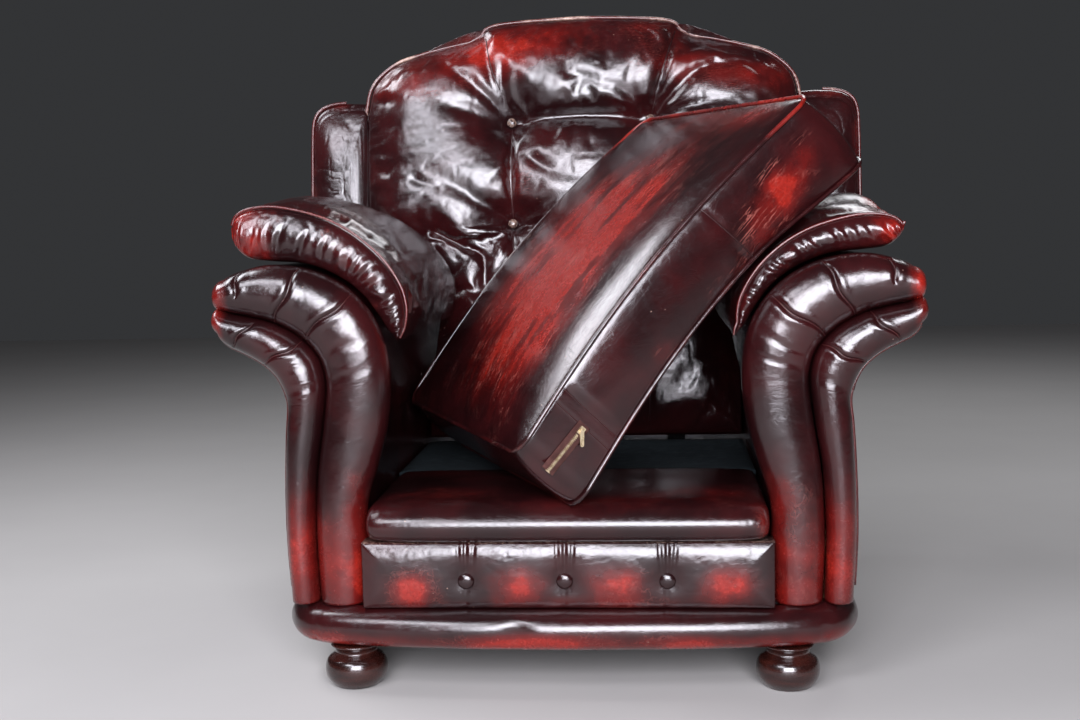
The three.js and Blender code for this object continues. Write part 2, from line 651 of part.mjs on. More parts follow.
const archAt = (a) => CUSHION_ARCH * Math.sin((Math.PI * a) / CUSHION_LONG);
const ARCH_STEPS = 12;
function cushionProfile() {
  const top = [];
  const bottom = [];
  for (let i = 0; i <= ARCH_STEPS; i += 1) {
    const a = (CUSHION_LONG * i) / ARCH_STEPS;
    top.push([a, archAt(a)]);
    bottom.push([a, archAt(a) - CUSHION_THICK]);
  }
  return polygon([...bottom, ...top.reverse()]);
}
function cushionEdge(drop, radius) {
  const inset = 2;
  const points = [];
  const run = (y) => (i) => {
    const a = inset + ((CUSHION_LONG - 2 * inset) * i) / ARCH_STEPS;
    points.push(v3(a, y, archAt(a) + drop));
  };
  const near = run(inset);
  const far = run(CUSHION_WIDE - inset);
  for (let i = 0; i <= ARCH_STEPS; i += 1) near(i);
  for (let i = 1; i < 8; i += 1) {
    points.push(v3(CUSHION_LONG - inset, inset + ((CUSHION_WIDE - 2 * inset) * i) / 8, drop));
  }
  for (let i = ARCH_STEPS; i >= 0; i -= 1) far(i);
  for (let i = 7; i > 0; i -= 1) points.push(v3(inset, inset + ((CUSHION_WIDE - 2 * inset) * i) / 8, drop));
  return cordAlong(new THREE.CatmullRomCurve3(points, true, 'centripetal'), radius, 44, 5, true);
}
const upperEdge = (radius) => cushionEdge(-2, radius);
const lowerEdge = (radius) => cushionEdge(2 - CUSHION_THICK, radius);

const cushionWhole = orient(new THREE.ExtrudeGeometry(cushionProfile(), {
  depth: CUSHION_WIDE - 2 * CUSHION_BEVEL,
  bevelThickness: CUSHION_BEVEL,
  bevelSize: CUSHION_BEVEL,
  bevelOffset: -CUSHION_BEVEL,
  bevelSegments: 1,
}).translate(0, 0, CUSHION_BEVEL)
  .applyMatrix4(new THREE.Matrix4().makeBasis(v3(1, 0, 0), v3(0, 0, 1), v3(0, 1, 0))));
piece('seat_cushion', cut(cushionWhole,
  upperEdge(CUSHION_PIPING + GAP), lowerEdge(CUSHION_PIPING + GAP)), OXBLOOD_RUBBED, cushion);
piece('cushion_piping_upper', upperEdge(CUSHION_PIPING), PIPING_LEATHER, cushion);
piece('cushion_piping_lower', lowerEdge(CUSHION_PIPING), PIPING_LEATHER, cushion);

// ---------------------------------------------------------------- zip of the cushion
// The visible straight end of the zip, on the near border, with its slider at the closed end.
const ZIP_START = 8; // along the cushion
const ZIP_END = 88;
const ZIP_DROP = 46; // middle of the tape, below the top face
const ZIP_WIDE = 20;
const ZIP_THICK = 1.2;
const SLIDER_AT = 78;
const SLIDER = { long: 11, wide: 8, thick: 3.6 };
const POST = { radius: 1.5, tall: 3.4, head: 2.8, headTall: 1 };
const PULL = { ring: 4, hole: 2, long: 21, wide: 5, thick: 1.5 };

piece('zip_tape', block(
  [ZIP_START, -GAP - ZIP_THICK, -ZIP_DROP - ZIP_WIDE / 2], [ZIP_END, -GAP, -ZIP_DROP + ZIP_WIDE / 2]),
ZIP_TAPE, cushion);

const sliderFace = -GAP - ZIP_THICK - GAP;
const postAt = (radius, tall, from) => new THREE.CylinderGeometry(radius, radius, tall, 16)
  .translate(SLIDER_AT, from - tall / 2, -ZIP_DROP);
const sliderTop = sliderFace - SLIDER.thick;
const slider = join(
  block([SLIDER_AT - SLIDER.long / 2, sliderTop, -ZIP_DROP - SLIDER.wide / 2],
    [SLIDER_AT + SLIDER.long / 2, sliderFace, -ZIP_DROP + SLIDER.wide / 2]),
  postAt(POST.radius, POST.tall, sliderTop + 0.5),
  postAt(POST.head, POST.headTall, sliderTop + 0.5 - POST.tall + 0.2));
piece('zip_slider', slider, ZIP_BRASS, cushion);

// The pull tab hangs from the post, straight down whatever way the cushion leans.
const hang = v3(-along.z, 0, -upward.z).normalize();
const hangAngle = Math.atan2(-hang.x, -hang.z);
const tabShape = new THREE.Shape();
tabShape.absarc(0, 0, PULL.ring, Math.PI * 0.2, Math.PI * 0.8, false);
tabShape.lineTo(-PULL.wide / 2, -PULL.long + 2);
tabShape.absarc(0, -PULL.long + 2, PULL.wide / 2, Math.PI, 2 * Math.PI, false);
tabShape.closePath();
tabShape.holes.push(new THREE.Path().absarc(0, 0, PULL.hole, 0, 2 * Math.PI, true));
const tab = piece('zip_pull', orient(new THREE.ExtrudeGeometry(tabShape, {
  depth: PULL.thick, bevelEnabled: false, curveSegments: 10,
}).rotateX(Math.PI / 2)), ZIP_BRASS, cushion);
tab.position.set(SLIDER_AT, sliderTop - 0.3, -ZIP_DROP);
tab.rotation.y = hangAngle;

// ---------------------------------------------------------------- stand the chair on its origin
chair.updateMatrixWorld(true);
const extent = new THREE.Box3().setFromObject(chair);
chair.position.set(-(extent.min.x + extent.max.x) / 2, -(extent.min.y + extent.max.y) / 2, -extent.min.z);

export default chair;
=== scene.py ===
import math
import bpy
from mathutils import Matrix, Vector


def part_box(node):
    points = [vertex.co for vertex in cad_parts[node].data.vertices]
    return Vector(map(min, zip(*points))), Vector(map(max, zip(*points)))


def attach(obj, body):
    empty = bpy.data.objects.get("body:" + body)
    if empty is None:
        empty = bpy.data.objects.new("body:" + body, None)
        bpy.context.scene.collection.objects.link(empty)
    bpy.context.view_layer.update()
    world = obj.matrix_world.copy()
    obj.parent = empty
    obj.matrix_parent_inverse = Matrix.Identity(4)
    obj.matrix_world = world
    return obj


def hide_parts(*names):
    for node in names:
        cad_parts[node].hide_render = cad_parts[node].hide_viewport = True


bl_info = {
    "name": "Worn Club Chair",
    "version": (1, 0, 0),
    "blender": (4, 5, 0),
    "location": "View3D > Sidebar > Club Chair",
    "description": "Upholsters a worn oxblood leather club chair around its packed frame",
    "category": "Add Mesh",
}

import bmesh
import bpy
import numpy as np
from bpy.props import FloatProperty, FloatVectorProperty, IntProperty, PointerProperty
from mathutils import Matrix, Vector
from mathutils.bvhtree import BVHTree

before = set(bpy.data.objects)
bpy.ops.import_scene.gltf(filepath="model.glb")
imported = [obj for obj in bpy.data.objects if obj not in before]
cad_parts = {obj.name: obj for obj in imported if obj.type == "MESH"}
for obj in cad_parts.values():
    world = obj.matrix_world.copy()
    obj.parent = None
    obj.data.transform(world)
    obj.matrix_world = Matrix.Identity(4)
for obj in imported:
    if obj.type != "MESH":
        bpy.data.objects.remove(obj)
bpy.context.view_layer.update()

MM = 0.001
CHAIR = "chair"  # the body that everything but the zip's slider and pull rides on
TURN = 2 * math.pi
SIDES = (("left", -1), ("right", 1))

# The chair is drawn about an origin of its own. SHIFT_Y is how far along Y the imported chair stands
# from it, found from the plane that the backs of the arm rolls lie in.
ROLL_BACK_Y = -352.4 * MM
SHIFT_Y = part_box("arm_front_roll_left")[1].y - ROLL_BACK_Y

BASE_BOTTOM, BASE_TOP = 61.5 * MM, 117.5 * MM
PAD_SLOPE, REAR_SLOPE = 0.151, 0.079  # how far back each leans for its height
PAD_LEAN, REAR_LEAN = math.atan(PAD_SLOPE), math.atan(REAR_SLOPE)
PAD_FOOT_Y, PAD_FOOT_Z = 190 * MM, 290 * MM  # where the face of the back pad starts
REAR_FOOT_Y = 362 * MM  # the outside back, at the height of BASE_BOTTOM


# ------------------------------------------------------------------ numbers and noise

def smooth(x):
    x = np.clip(x, 0, 1)
    return x * x * (3 - 2 * x)


def bell(distance, width):
    return np.exp(-((distance / width) ** 2))


def lattice(ix, iy, iz, seed):
    h = (ix * 374761393 + iy * 668265263 + iz * 2147483647 + seed * 1274126177) & 0xFFFFFFFF
    h = ((h ^ (h >> 13)) * 1274126177) & 0xFFFFFFFF
    return ((h ^ (h >> 16)) & 0xFFFF) / 65535.0 * 2 - 1


def value_noise(points, size, seed=0):
    """Smooth noise from -1 to 1, with lumps about as wide as size."""
    q = np.asarray(points, float) / size + 1000.0
    base = np.floor(q).astype(np.int64)
    f = q - base
    f = f * f * f * (f * (f * 6 - 15) + 10)
    total = 0.0
    for dx in (0, 1):
        wx = f[..., 0] if dx else 1 - f[..., 0]
        for dy in (0, 1):
            wy = f[..., 1] if dy else 1 - f[..., 1]
            for dz in (0, 1):
                wz = f[..., 2] if dz else 1 - f[..., 2]
                corner = lattice(base[..., 0] + dx, base[..., 1] + dy, base[..., 2] + dz, seed)
                total = total + wx * wy * wz * corner
    return total


def fractal(points, size, seed=0, octaves=4):
    total, weight, amount = 0.0, 0.0, 1.0
    for i in range(octaves):
        total = total + amount * value_noise(points, size / 2 ** i, seed + 17 * i)
        weight += amount
        amount *= 0.5
    return total / weight


def creases(points, size, seed=0, octaves=3):
    """Sharp valleys between soft lumps: 0 on the lumps and 1 along the lines between them."""
    total, weight, amount = 0.0, 0.0, 1.0
    for i in range(octaves):
        n = value_noise(points, size / 2 ** i, seed + 29 * i)
        total = total + amount * (1 - np.minimum(1, np.abs(n) * 5)) ** 2
        weight += amount
        amount *= 0.6
    return total / weight


def to_segment(p, a, b):
    """Distance from points to the segment a-b, and how far along it the nearest place is."""
    a, b = np.asarray(a, float), np.asarray(b, float)
    d = b - a
    t = np.clip(((p - a) @ d) / max(float(d @ d), 1e-12), 0, 1)
    return np.linalg.norm(p - (a + t[..., None] * d), axis=-1), t


def spline(points, count, closed=False):
    """A smooth line through points, as count places at equal steps of its length."""
    p = np.asarray(points, float)
    n = len(p)
    if closed:
        ring = np.vstack([p[-1:], p, p[:2]])
    else:
        ring = np.vstack([2 * p[0] - p[1], p, 2 * p[-1] - p[-2]])
    fine = []
    for i in range(n if closed else n - 1):
        p0, p1, p2, p3 = ring[i:i + 4]
        t = np.linspace(0, 1, 16, endpoint=False)[:, None]
        fine.append(0.5 * (2 * p1 + (p2 - p0) * t + (2 * p0 - 5 * p1 + 4 * p2 - p3) * t ** 2
                           + (3 * p1 - p0 - 3 * p2 + p3) * t ** 3))
    fine = np.vstack(fine + [p[:1] if closed else p[-1:]])
    return even(fine, count, closed)


def even(line, count, closed=False):
    """The same line as count places at equal steps of its length."""
    steps = np.linalg.norm(np.diff(line, axis=0), axis=1)
    run = np.concatenate([[0], np.cumsum(steps)])
    wanted = np.linspace(0, run[-1], count + 1 if closed else count)
    out = np.stack([np.interp(wanted, run, line[:, k]) for k in range(line.shape[1])], 1)
    return out[:-1] if closed else out


def station_line(points, count):
    """A smooth line through points, with the same number of places between any two of them."""
    p = np.asarray(points, float)
    ring = np.vstack([2 * p[0] - p[1], p, 2 * p[-1] - p[-2]])
    wanted = np.linspace(0, len(p) - 1, count)
    i = np.minimum(wanted.astype(int), len(p) - 2)
    t = (wanted - i)[:, None]
    p0, p1, p2, p3 = ring[i], ring[i + 1], ring[i + 2], ring[i + 3]
    return 0.5 * (2 * p1 + (p2 - p0) * t + (2 * p0 - 5 * p1 + 4 * p2 - p3) * t ** 2
                  + (3 * p1 - p0 - 3 * p2 + p3) * t ** 3)


def mirrored(half):
    half = [tuple(p) for p in half]
    return half + [(-x, y) for x, y in reversed(half) if x != 0]


# ------------------------------------------------------------------ places in the chair

def placed(points):
    """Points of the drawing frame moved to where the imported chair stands."""
    out = np.array(points, float)
    out[..., 1] += SHIFT_Y
    return out


def leaning(points, lean, y, z):
    """Points given as x, depth behind a leaning plane and height up it."""
    p = np.asarray(points, float)
    s, c = math.sin(lean), math.cos(lean)
    return placed(np.stack([p[..., 0], y + p[..., 1] * c + p[..., 2] * s,
                            z - p[..., 1] * s + p[..., 2] * c], -1))


def on_pad(points):
    return leaning(points, PAD_LEAN, PAD_FOOT_Y, PAD_FOOT_Z)


def on_rear(points):
    return leaning(points, REAR_LEAN, REAR_FOOT_Y, BASE_BOTTOM)


def pad_rear_y(z):
    """Where the back pad and the wings end behind, just in front of the outside back."""
    return REAR_FOOT_Y + SHIFT_Y + (z - BASE_BOTTOM) * math.tan(REAR_LEAN) - 1.5 * MM


def arm_rear_y(z):
    """Where the arms end behind, in the drawing frame."""
    return REAR_FOOT_Y + (z - BASE_BOTTOM) * math.tan(REAR_LEAN) - 1.2 * MM


# The loose cushion's own frame: its near lower corner, and the ways along, across and out of its top.
CUSHION_LONG, CUSHION_WIDE, CUSHION_THICK = 637 * MM, 546 * MM, 112 * MM
CUSHION_ARCH = 26 * MM
CUSHION_ROUND = 30 * MM  # radius of its plan's corners
CUSHION_ALONG = np.array([0.626, 0.275, 0.730])
CUSHION_ALONG /= np.linalg.norm(CUSHION_ALONG)
CUSHION_ACROSS = np.array([-0.420, 0.907, 0.018])
CUSHION_ACROSS -= CUSHION_ALONG * (CUSHION_ACROSS @ CUSHION_ALONG)
CUSHION_ACROSS /= np.linalg.norm(CUSHION_ACROSS)
CUSHION_UP = np.cross(CUSHION_ALONG, CUSHION_ACROSS)
CUSHION_CORNER = np.array([-54, -481, 345]) * MM


def on_cushion(points):
    """Points of the cushion's own frame: along it, across it and out of its top face."""
    p = np.asarray(points, float)
    return placed(CUSHION_CORNER + p[..., :1] * CUSHION_ALONG + p[..., 1:2] * CUSHION_ACROSS
                  + p[..., 2:3] * CUSHION_UP)


# ------------------------------------------------------------------ meshes

def new_object(name, data):
    made = bpy.data.objects.new(name, data)
    bpy.context.scene.collection.objects.link(made)
    return made


def mesh_piece(name, points, faces, turn_out=True):
    mesh = bpy.data.meshes.new(name)
    mesh.from_pydata(np.asarray(points).reshape(-1, 3).tolist(), [], faces)
    mesh.validate()
    piece = new_object(name, mesh)
    if turn_out:
        face_out(mesh)
    mesh.shade_smooth()
    return piece


def face_out(mesh):
    """Turns a closed skin's faces outwards."""
    bm = bmesh.new()
    bm.from_mesh(mesh)
    bmesh.ops.recalc_face_normals(bm, faces=bm.faces)
    bm.to_mesh(mesh)
    bm.free()


def grid_faces(rows, columns, wrap_rows=False, wrap_columns=False, start=0):
    r = np.arange(rows if wrap_rows else rows - 1)
    c = np.arange(columns if wrap_columns else columns - 1)
    rr, cc = np.meshgrid(r, c, indexing="ij")
    r2, c2 = (rr + 1) % rows, (cc + 1) % columns
    quads = np.stack([rr * columns + cc, rr * columns + c2, r2 * columns + c2, r2 * columns + cc], -1)
    return (quads.reshape(-1, 4) + start).tolist()


def tube_piece(name, rings, closed=False):
    """A skin over equal closed rings of points, with flat caps unless it closes on itself."""
    rings = np.asarray(rings, float)
    rows, columns = rings.shape[:2]
    faces = grid_faces(rows, columns, closed, True)
    points = rings.reshape(-1, 3)
    if not closed:
        ends = np.array([rings[0].mean(0), rings[-1].mean(0)])
        points = np.vstack([points, ends])
        last = (rows - 1) * columns
        for j in range(columns):
            k = (j + 1) % columns
            faces.append([rows * columns, k, j])
            faces.append([rows * columns + 1, last + j, last + k])
    return mesh_piece(name, points, faces)


def frames_along(line, closed=False):
    """For each place on a line, two directions square to it that turn as little as possible."""
    line = np.asarray(line, float)
    if closed:
        tangent = np.roll(line, -1, 0) - np.roll(line, 1, 0)
    else:
        tangent = np.gradient(line, axis=0)
    tangent /= np.linalg.norm(tangent, axis=1)[:, None]
    start = np.cross(tangent[0], [0.3, 0.2, 1.0])
    side = [start / np.linalg.norm(start)]
    for t in tangent[1:]:
        s = side[-1] - t * (side[-1] @ t)
        side.append(s / np.linalg.norm(s))
    side = np.array(side)
    other = np.cross(tangent, side)
    if closed:  # spread the left-over twist along the line
        t = tangent[0]
        s = side[-1] - t * (side[-1] @ t)
        s /= np.linalg.norm(s)
        twist = math.atan2(float(s @ other[0]), float(s @ side[0]))
        turn = -twist * np.linspace(0, 1, len(line))[:, None]
        c, s = np.cos(turn), np.sin(turn)
        side, other = side * c + other * s, other * c - side * s
    return side, other


def piping(name, line, radius, closed=False, sides=10, seed=1):
    """A leather covered cord along a line, a little uneven."""
    line = np.asarray(line, float)
    side, other = frames_along(line, closed)
    angle = np.linspace(0, TURN, sides, endpoint=False)
    uneven = 1 + 0.06 * value_noise(line, 14 * MM, seed) + 0.04 * value_noise(line, 5 * MM, seed + 1)
    ring = np.cos(angle)[None, :, None] * side[:, None] + np.sin(angle)[None, :, None] * other[:, None]
    rings = line[:, None] + ring * (radius * uneven)[:, None, None]
    return tube_piece(name, rings, closed)


def of_points(mesh, what):
    flat = np.empty(len(mesh.vertices) * 3)
    mesh.vertices.foreach_get(what, flat)
    return flat.reshape(-1, 3)


def coordinates(mesh):
    return of_points(mesh, "co")


def normals(mesh):
    return of_points(mesh, "normal")


def move_points(mesh, points):
    mesh.vertices.foreach_set("co", np.asarray(points, float).ravel())
    mesh.update()


def refine(piece):
    """Subdivides a piece once and keeps the result as its mesh."""
    modifier = piece.modifiers.new("refine", "SUBSURF")
    modifier.levels = 1
    modifier.render_levels = 1
    bpy.context.view_layer.update()
    graph = bpy.context.evaluated_depsgraph_get()
    done = bpy.data.meshes.new_from_object(piece.evaluated_get(graph))
    piece.modifiers.clear()
    old = piece.data
    piece.data = done
    bpy.data.meshes.remove(old)
    done.shade_smooth()
    return piece


# The leather of the cloth simulation.
LEATHER_WEIGHT = 0.3
LEATHER_STIFFNESS, LEATHER_SHEAR, LEATHER_BENDING = 12.0, 6.0, 0.6


def drape(piece, held, pressure, slack, reach, frames):
    """Lets a leather skin swell and buckle: held is how firmly each point is held, from 0 to 1,
    slack the share by which the leather is too long, and reach the furthest that a point may go.
    Only the faces with a loose point take part; the others stay as they are."""
    held = np.asarray(held, float)
    quads = np.array([f.vertices[:] for f in piece.data.polygons])
    loose = quads[(held[quads] < 0.999).any(axis=1)]
    used = np.unique(loose)
    number = np.full(len(held), -1)
    number[used] = np.arange(len(used))
    whole = coordinates(piece.data)
    skin = mesh_piece("loose_skin", whole[used], number[loose].tolist(), turn_out=False)
    whole[used] = billow(skin, held[used], pressure, slack, reach, frames)
    old = skin.data
    bpy.data.objects.remove(skin)
    bpy.data.meshes.remove(old)
    move_points(piece.data, whole)
    return piece


def billow(piece, held, pressure, slack, reach, frames):
    """Where the points of an open skin go when it is blown out and eased."""
    scene = bpy.context.scene
    rest = coordinates(piece.data)
    group = piece.vertex_groups.new(name="held")
    for level in np.unique(np.round(held, 2)):
        if level > 0:
            group.add(np.nonzero(np.round(held, 2) == level)[0].tolist(), float(level), "REPLACE")
    cloth = piece.modifiers.new("cloth", "CLOTH")
    settings = cloth.settings
    settings.quality = 5
    settings.mass = LEATHER_WEIGHT
    settings.tension_stiffness = LEATHER_STIFFNESS
    settings.compression_stiffness = LEATHER_STIFFNESS
    settings.shear_stiffness = LEATHER_SHEAR
    settings.bending_stiffness = LEATHER_BENDING
    settings.air_damping = 4
    settings.vertex_group_mass = "held"
    settings.pin_stiffness = 8
    settings.shrink_min = -slack
    settings.use_pressure = True
    settings.uniform_pressure_force = pressure
    settings.effector_weights.gravity = 0
    cloth.collision_settings.use_collision = False
    cloth.collision_settings.use_self_collision = False
    cloth.point_cache.frame_start = 1
    cloth.point_cache.frame_end = frames
    for i in range(1, frames + 1):
        scene.frame_set(i)
    graph = bpy.context.evaluated_depsgraph_get()
    moved = coordinates(piece.evaluated_get(graph).data)
    scene.frame_set(1)
    step = moved - rest
    far = np.linalg.norm(step, axis=1)
    keep = reach * np.tanh(far / reach) / np.maximum(far, 1e-9)
    return rest + step * keep[:, None]


DROP = 0.12  # how far above a piece a line is dropped from


def laid_on(piece, points, direction, lift):
    """Points dropped on to a finished piece along a direction, and lifted back a little."""
    mesh = piece.data
    tree = BVHTree.FromPolygons(coordinates(mesh).tolist(), [p.vertices[:] for p in mesh.polygons])
    way = Vector(direction).normalized()
    out = []
    for point in points:
        hit = tree.ray_cast(Vector(point) - DROP * way, way)[0]
        out.append(tuple(hit - lift * way) if hit else tuple(point))
    return np.array(out)


def sewn_seam(name, piece, points, direction, radius, rub):
    """The closed edge of a seam: a fine dark cord that lies half sunk in the leather."""
    line = even(laid_on(piece, even(np.asarray(points), 120), direction, 0.1 * radius), 110)
    seam = piping(name, line, radius, sides=6, seed=3)
    dress(seam, finish("hide_dark"), rub=rub)


def dress_cord(cord, rub, pale, replaced=()):
    """Gives a piping cord its finish, red and worn to the hide by the shares rub and pale."""
    dress(cord, finish("hide_piping"), replaced, rub, pale)


def cord_wear(cord, start, swing, size, seed):
    """How much of a cord is worn to the hide: a share to start from, and how far it swings."""
    return start + swing * fractal(coordinates(cord.data), size, seed)


def wrinkle(piece, amount, size, seed, mask=None):
    """Fine creases pressed into a finished piece."""
    mesh = piece.data
    p = coordinates(mesh)
    depth = amount * creases(p + 0.3 * size * fractal(p, size, seed + 5)[:, None], size, seed)
    if mask is not None:
        depth = depth * mask
    move_points(mesh, p - normals(mesh) * depth[:, None])
    return piece


def paint(piece, name, values):
    """Paints a share from 0 to 1 on a piece, the same all over or one for each point."""
    values = np.broadcast_to(np.clip(values, 0, 1), len(piece.data.vertices))
    attribute = piece.data.attributes.new(name, "FLOAT", "POINT")
    attribute.data.foreach_set("value", values.astype(np.float32))


def paint_places(piece, places):
    attribute = piece.data.attributes.new("lay", "FLOAT_VECTOR", "POINT")
    attribute.data.foreach_set("vector", places.astype(np.float32).ravel())


def patches(points, spots):
    """Soft spots of rubbed leather: each is a centre, its reach along each way, and a strength."""
    total = np.zeros(len(points))
    for centre, reach, strength in spots:
        d = (points - np.asarray(centre)) / np.asarray(reach)
        total += strength * np.exp(-np.sum(d * d, axis=1))
    return total


def dress(piece, material, replaced=(), rub=None, pale=0.0):
    """Gives a piece its finish, its wear and its place in the chair. Only leather has wear; its pale share is
    in places a painted highlight.
    """
    piece.data.materials.clear()
    piece.data.materials.append(material)
    if rub is not None:
        paint(piece, "rub", rub)
        paint(piece, "pale", pale)
        if "lay" not in piece.data.attributes:
            paint_places(piece, coordinates(piece.data))
    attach(piece, CHAIR)
    if replaced:
        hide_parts(*replaced)
    return piece


# ------------------------------------------------------------------ materials

class Nodes:
    """A short way to build a material's node tree."""

    def __init__(self, name, painted_places=False):
        self.painted_places = painted_places
        self.material = bpy.data.materials.new(name)
        self.material.use_nodes = True
        self.tree = self.material.node_tree
        self.shader = self.tree.nodes["Principled BSDF"]

    def add(self, kind, **values):
        node = self.tree.nodes.new(kind)
        for key, value in values.items():
            setattr(node, key, value)
        return node

    def link(self, output, socket):
        self.tree.links.new(output, socket)

    def place(self, scale=(1, 1, 1)):
        """Where a point lies: as painted on the piece, or in the object where nothing is painted."""
        if self.painted_places:
            source = self.add("ShaderNodeAttribute", attribute_name="lay").outputs["Vector"]
        else:
            source = self.add("ShaderNodeTexCoord").outputs["Object"]
        mapping = self.add("ShaderNodeMapping")
        mapping.inputs["Scale"].default_value = scale
        self.link(source, mapping.inputs["Vector"])
        return mapping.outputs["Vector"]

    def noise(self, vector, scale, detail=4.0, roughness=0.55, distortion=0.0):
        node = self.add("ShaderNodeTexNoise")
        node.inputs["Scale"].default_value = scale
        node.inputs["Detail"].default_value = detail
        node.inputs["Roughness"].default_value = roughness
        node.inputs["Distortion"].default_value = distortion
        self.link(vector, node.inputs["Vector"])
        return node.outputs["Fac"]

    def cells(self, vector, scale):
        node = self.add("ShaderNodeTexVoronoi")
        node.inputs["Scale"].default_value = scale
        self.link(vector, node.inputs["Vector"])
        return node.outputs["Distance"]

    def bands(self, vector, scale, direction):
        node = self.add("ShaderNodeTexWave", wave_type="BANDS", bands_direction=direction)
        node.inputs["Scale"].default_value = scale
        self.link(vector, node.inputs["Vector"])
        return node.outputs["Fac"]

    def ramp(self, value, low, high, out_low=0.0, out_high=1.0):
        node = self.add("ShaderNodeMapRange", interpolation_type="SMOOTHSTEP")
        numbers = {"From Min": low, "From Max": high, "To Min": out_low, "To Max": out_high}
        for name, number in numbers.items():
            node.inputs[name].default_value = number
        self.link(value, node.inputs["Value"])
        return node.outputs["Result"]

    def math(self, operation, a, b=None):
        node = self.add("ShaderNodeMath", operation=operation)
        for socket, value in zip(node.inputs, (a, b)):
            if value is None:
                continue
            if isinstance(value, (int, float)):
                socket.default_value = value
            else:
                self.link(value, socket)
        return node.outputs[0]

    def mix(self, factor, a, b):
        node = self.add("ShaderNodeMix", data_type="RGBA")
        for socket, value in ((node.inputs[0], factor), (node.inputs[6], a), (node.inputs[7], b)):
            if isinstance(value, bpy.types.NodeSocket):
                self.link(value, socket)
            elif isinstance(value, (int, float)):
                socket.default_value = value
            else:
                socket.default_value = (*value[:3], 1.0)
        return node.outputs[2]

    def painted(self, name):
        node = self.add("ShaderNodeAttribute", attribute_name=name)
        return node.outputs["Fac"]

    def bump(self, height, strength, distance, under=None):
        node = self.add("ShaderNodeBump")
        node.inputs["Strength"].default_value = strength
        node.inputs["Distance"].default_value = distance
        self.link(height, node.inputs["Height"])
        if under is not None:
            self.link(under, node.inputs["Normal"])
        return node.outputs["Normal"]


def leather(name, look, scratch=(9, 60, 9), scratch_amount=0.10, gloss=0.0):
    """Oxblood leather: a near black top colour, red where it is rubbed through, pale where it is
    worn to the hide and in a few places as a painted highlight, with grain, fine creases and scratches."""
    n = Nodes(name, painted_places=True)
    here = n.place()
    cloud = n.noise(here, 9, 5)
    mottle = n.noise(here, 38, 5, 0.65)
    fine = n.noise(here, 240, 4, 0.6)
    base = n.mix(n.ramp(cloud, 0.38, 0.68), look.dark, look.middle)
    rubbed = n.math("ADD", n.painted("rub"), n.math("MULTIPLY", n.math("SUBTRACT", mottle, 0.5), 0.42))
    rubbed = n.math("MULTIPLY", n.ramp(rubbed, 0.10, 1.0), n.ramp(n.painted("rub"), 0.02, 0.2))
    base = n.mix(rubbed, base, look.rubbed)
    hot = n.math("ADD", n.painted("rub"), n.math("MULTIPLY", n.math("SUBTRACT", fine, 0.5), 0.4))
    base = n.mix(n.ramp(hot, 0.75, 1.25), base, look.bright)

    # Fine dark crease lines and pale scratches, drawn out along one way of the piece.
    crease = n.noise(n.place((26, 26, 26)), 1.0, 6, 0.62, 1.4)
    crease_line = n.math("ABSOLUTE", n.math("SUBTRACT", crease, 0.5))
    base = n.mix(n.ramp(crease_line, 0.0, 0.012, 0.25, 0.0), base, look.dark)
    stretched = n.noise(n.place(scratch), 6, 6, 0.6, 0.4)
    scratch_line = n.math("ABSOLUTE", n.math("SUBTRACT", stretched, 0.5))
    broken = n.ramp(n.noise(here, 14, 3), 0.45, 0.62)
    mark = n.math("MULTIPLY", n.ramp(scratch_line, 0.0, 0.022, scratch_amount, 0.0), broken)
    mark = n.math("MULTIPLY", mark, n.ramp(n.painted("rub"), 0.03, 0.40))
    base = n.mix(mark, base, look.scratch)
    speck = n.math("MULTIPLY", n.ramp(n.cells(here, 95), 0.05, 0.10, 1.0, 0.0),
                   n.ramp(n.noise(here, 22, 2), 0.60, 0.70))
    base = n.mix(n.math("MULTIPLY", speck, 0.55), base, look.pale)
    worn = n.math("ADD", n.painted("pale"), n.math("MULTIPLY", n.math("SUBTRACT", fine, 0.5), 0.9))
    base = n.mix(n.ramp(worn, 0.35, 0.9), base, look.pale)
    n.link(base, n.shader.inputs["Base Color"])

    rough = n.ramp(mottle, 0.3, 0.75, 0.17 + gloss, 0.24 + gloss)
    rough = n.math("ADD", rough, n.math("MULTIPLY", n.painted("pale"), 0.2))
    rough = n.math("ADD", rough, n.math("MULTIPLY", n.painted("rub"), 0.07))
    rough = n.math("ADD", rough, n.ramp(fine, 0.4, 0.7, -0.01, 0.02))
    n.link(rough, n.shader.inputs["Roughness"])
    n.shader.inputs["IOR"].default_value = 1.5
    n.shader.inputs["Coat Weight"].default_value = 0.25
    n.shader.inputs["Coat Roughness"].default_value = 0.2

    grain = n.cells(here, 620)
    pores = n.noise(here, 1300, 3, 0.7)
    normal = n.bump(n.math("ADD", grain, n.math("MULTIPLY", pores, 0.5)), 0.13, 0.0004)
    normal = n.bump(n.ramp(crease_line, 0.0, 0.04), 0.10, 0.0008, normal)
    normal = n.bump(n.ramp(scratch_line, 0.0, 0.03), 0.10, 0.0005, normal)
    normal = n.bump(mottle, 0.06, 0.0016, normal)
    n.link(normal, n.shader.inputs["Normal"])
    return n.material


def cloth(name, colour, threads_scale):
    """Matt woven cloth with a little lint."""
    n = Nodes(name)
    here = n.place()
    threads = n.math("MULTIPLY", n.bands(here, threads_scale, "X"), n.bands(here, threads_scale, "Y"))
    lint = n.noise(here, 60, 6, 0.7)
    light = tuple(min(1, c * 2.2 + 0.004) for c in colour)
    n.link(n.mix(n.ramp(lint, 0.4, 0.8), colour, light), n.shader.inputs["Base Color"])
    n.shader.inputs["Roughness"].default_value = 1.0
    n.shader.inputs["Specular IOR Level"].default_value = 0.12
    n.link(n.bump(threads, 0.5, 0.0003), n.shader.inputs["Normal"])
    return n.material


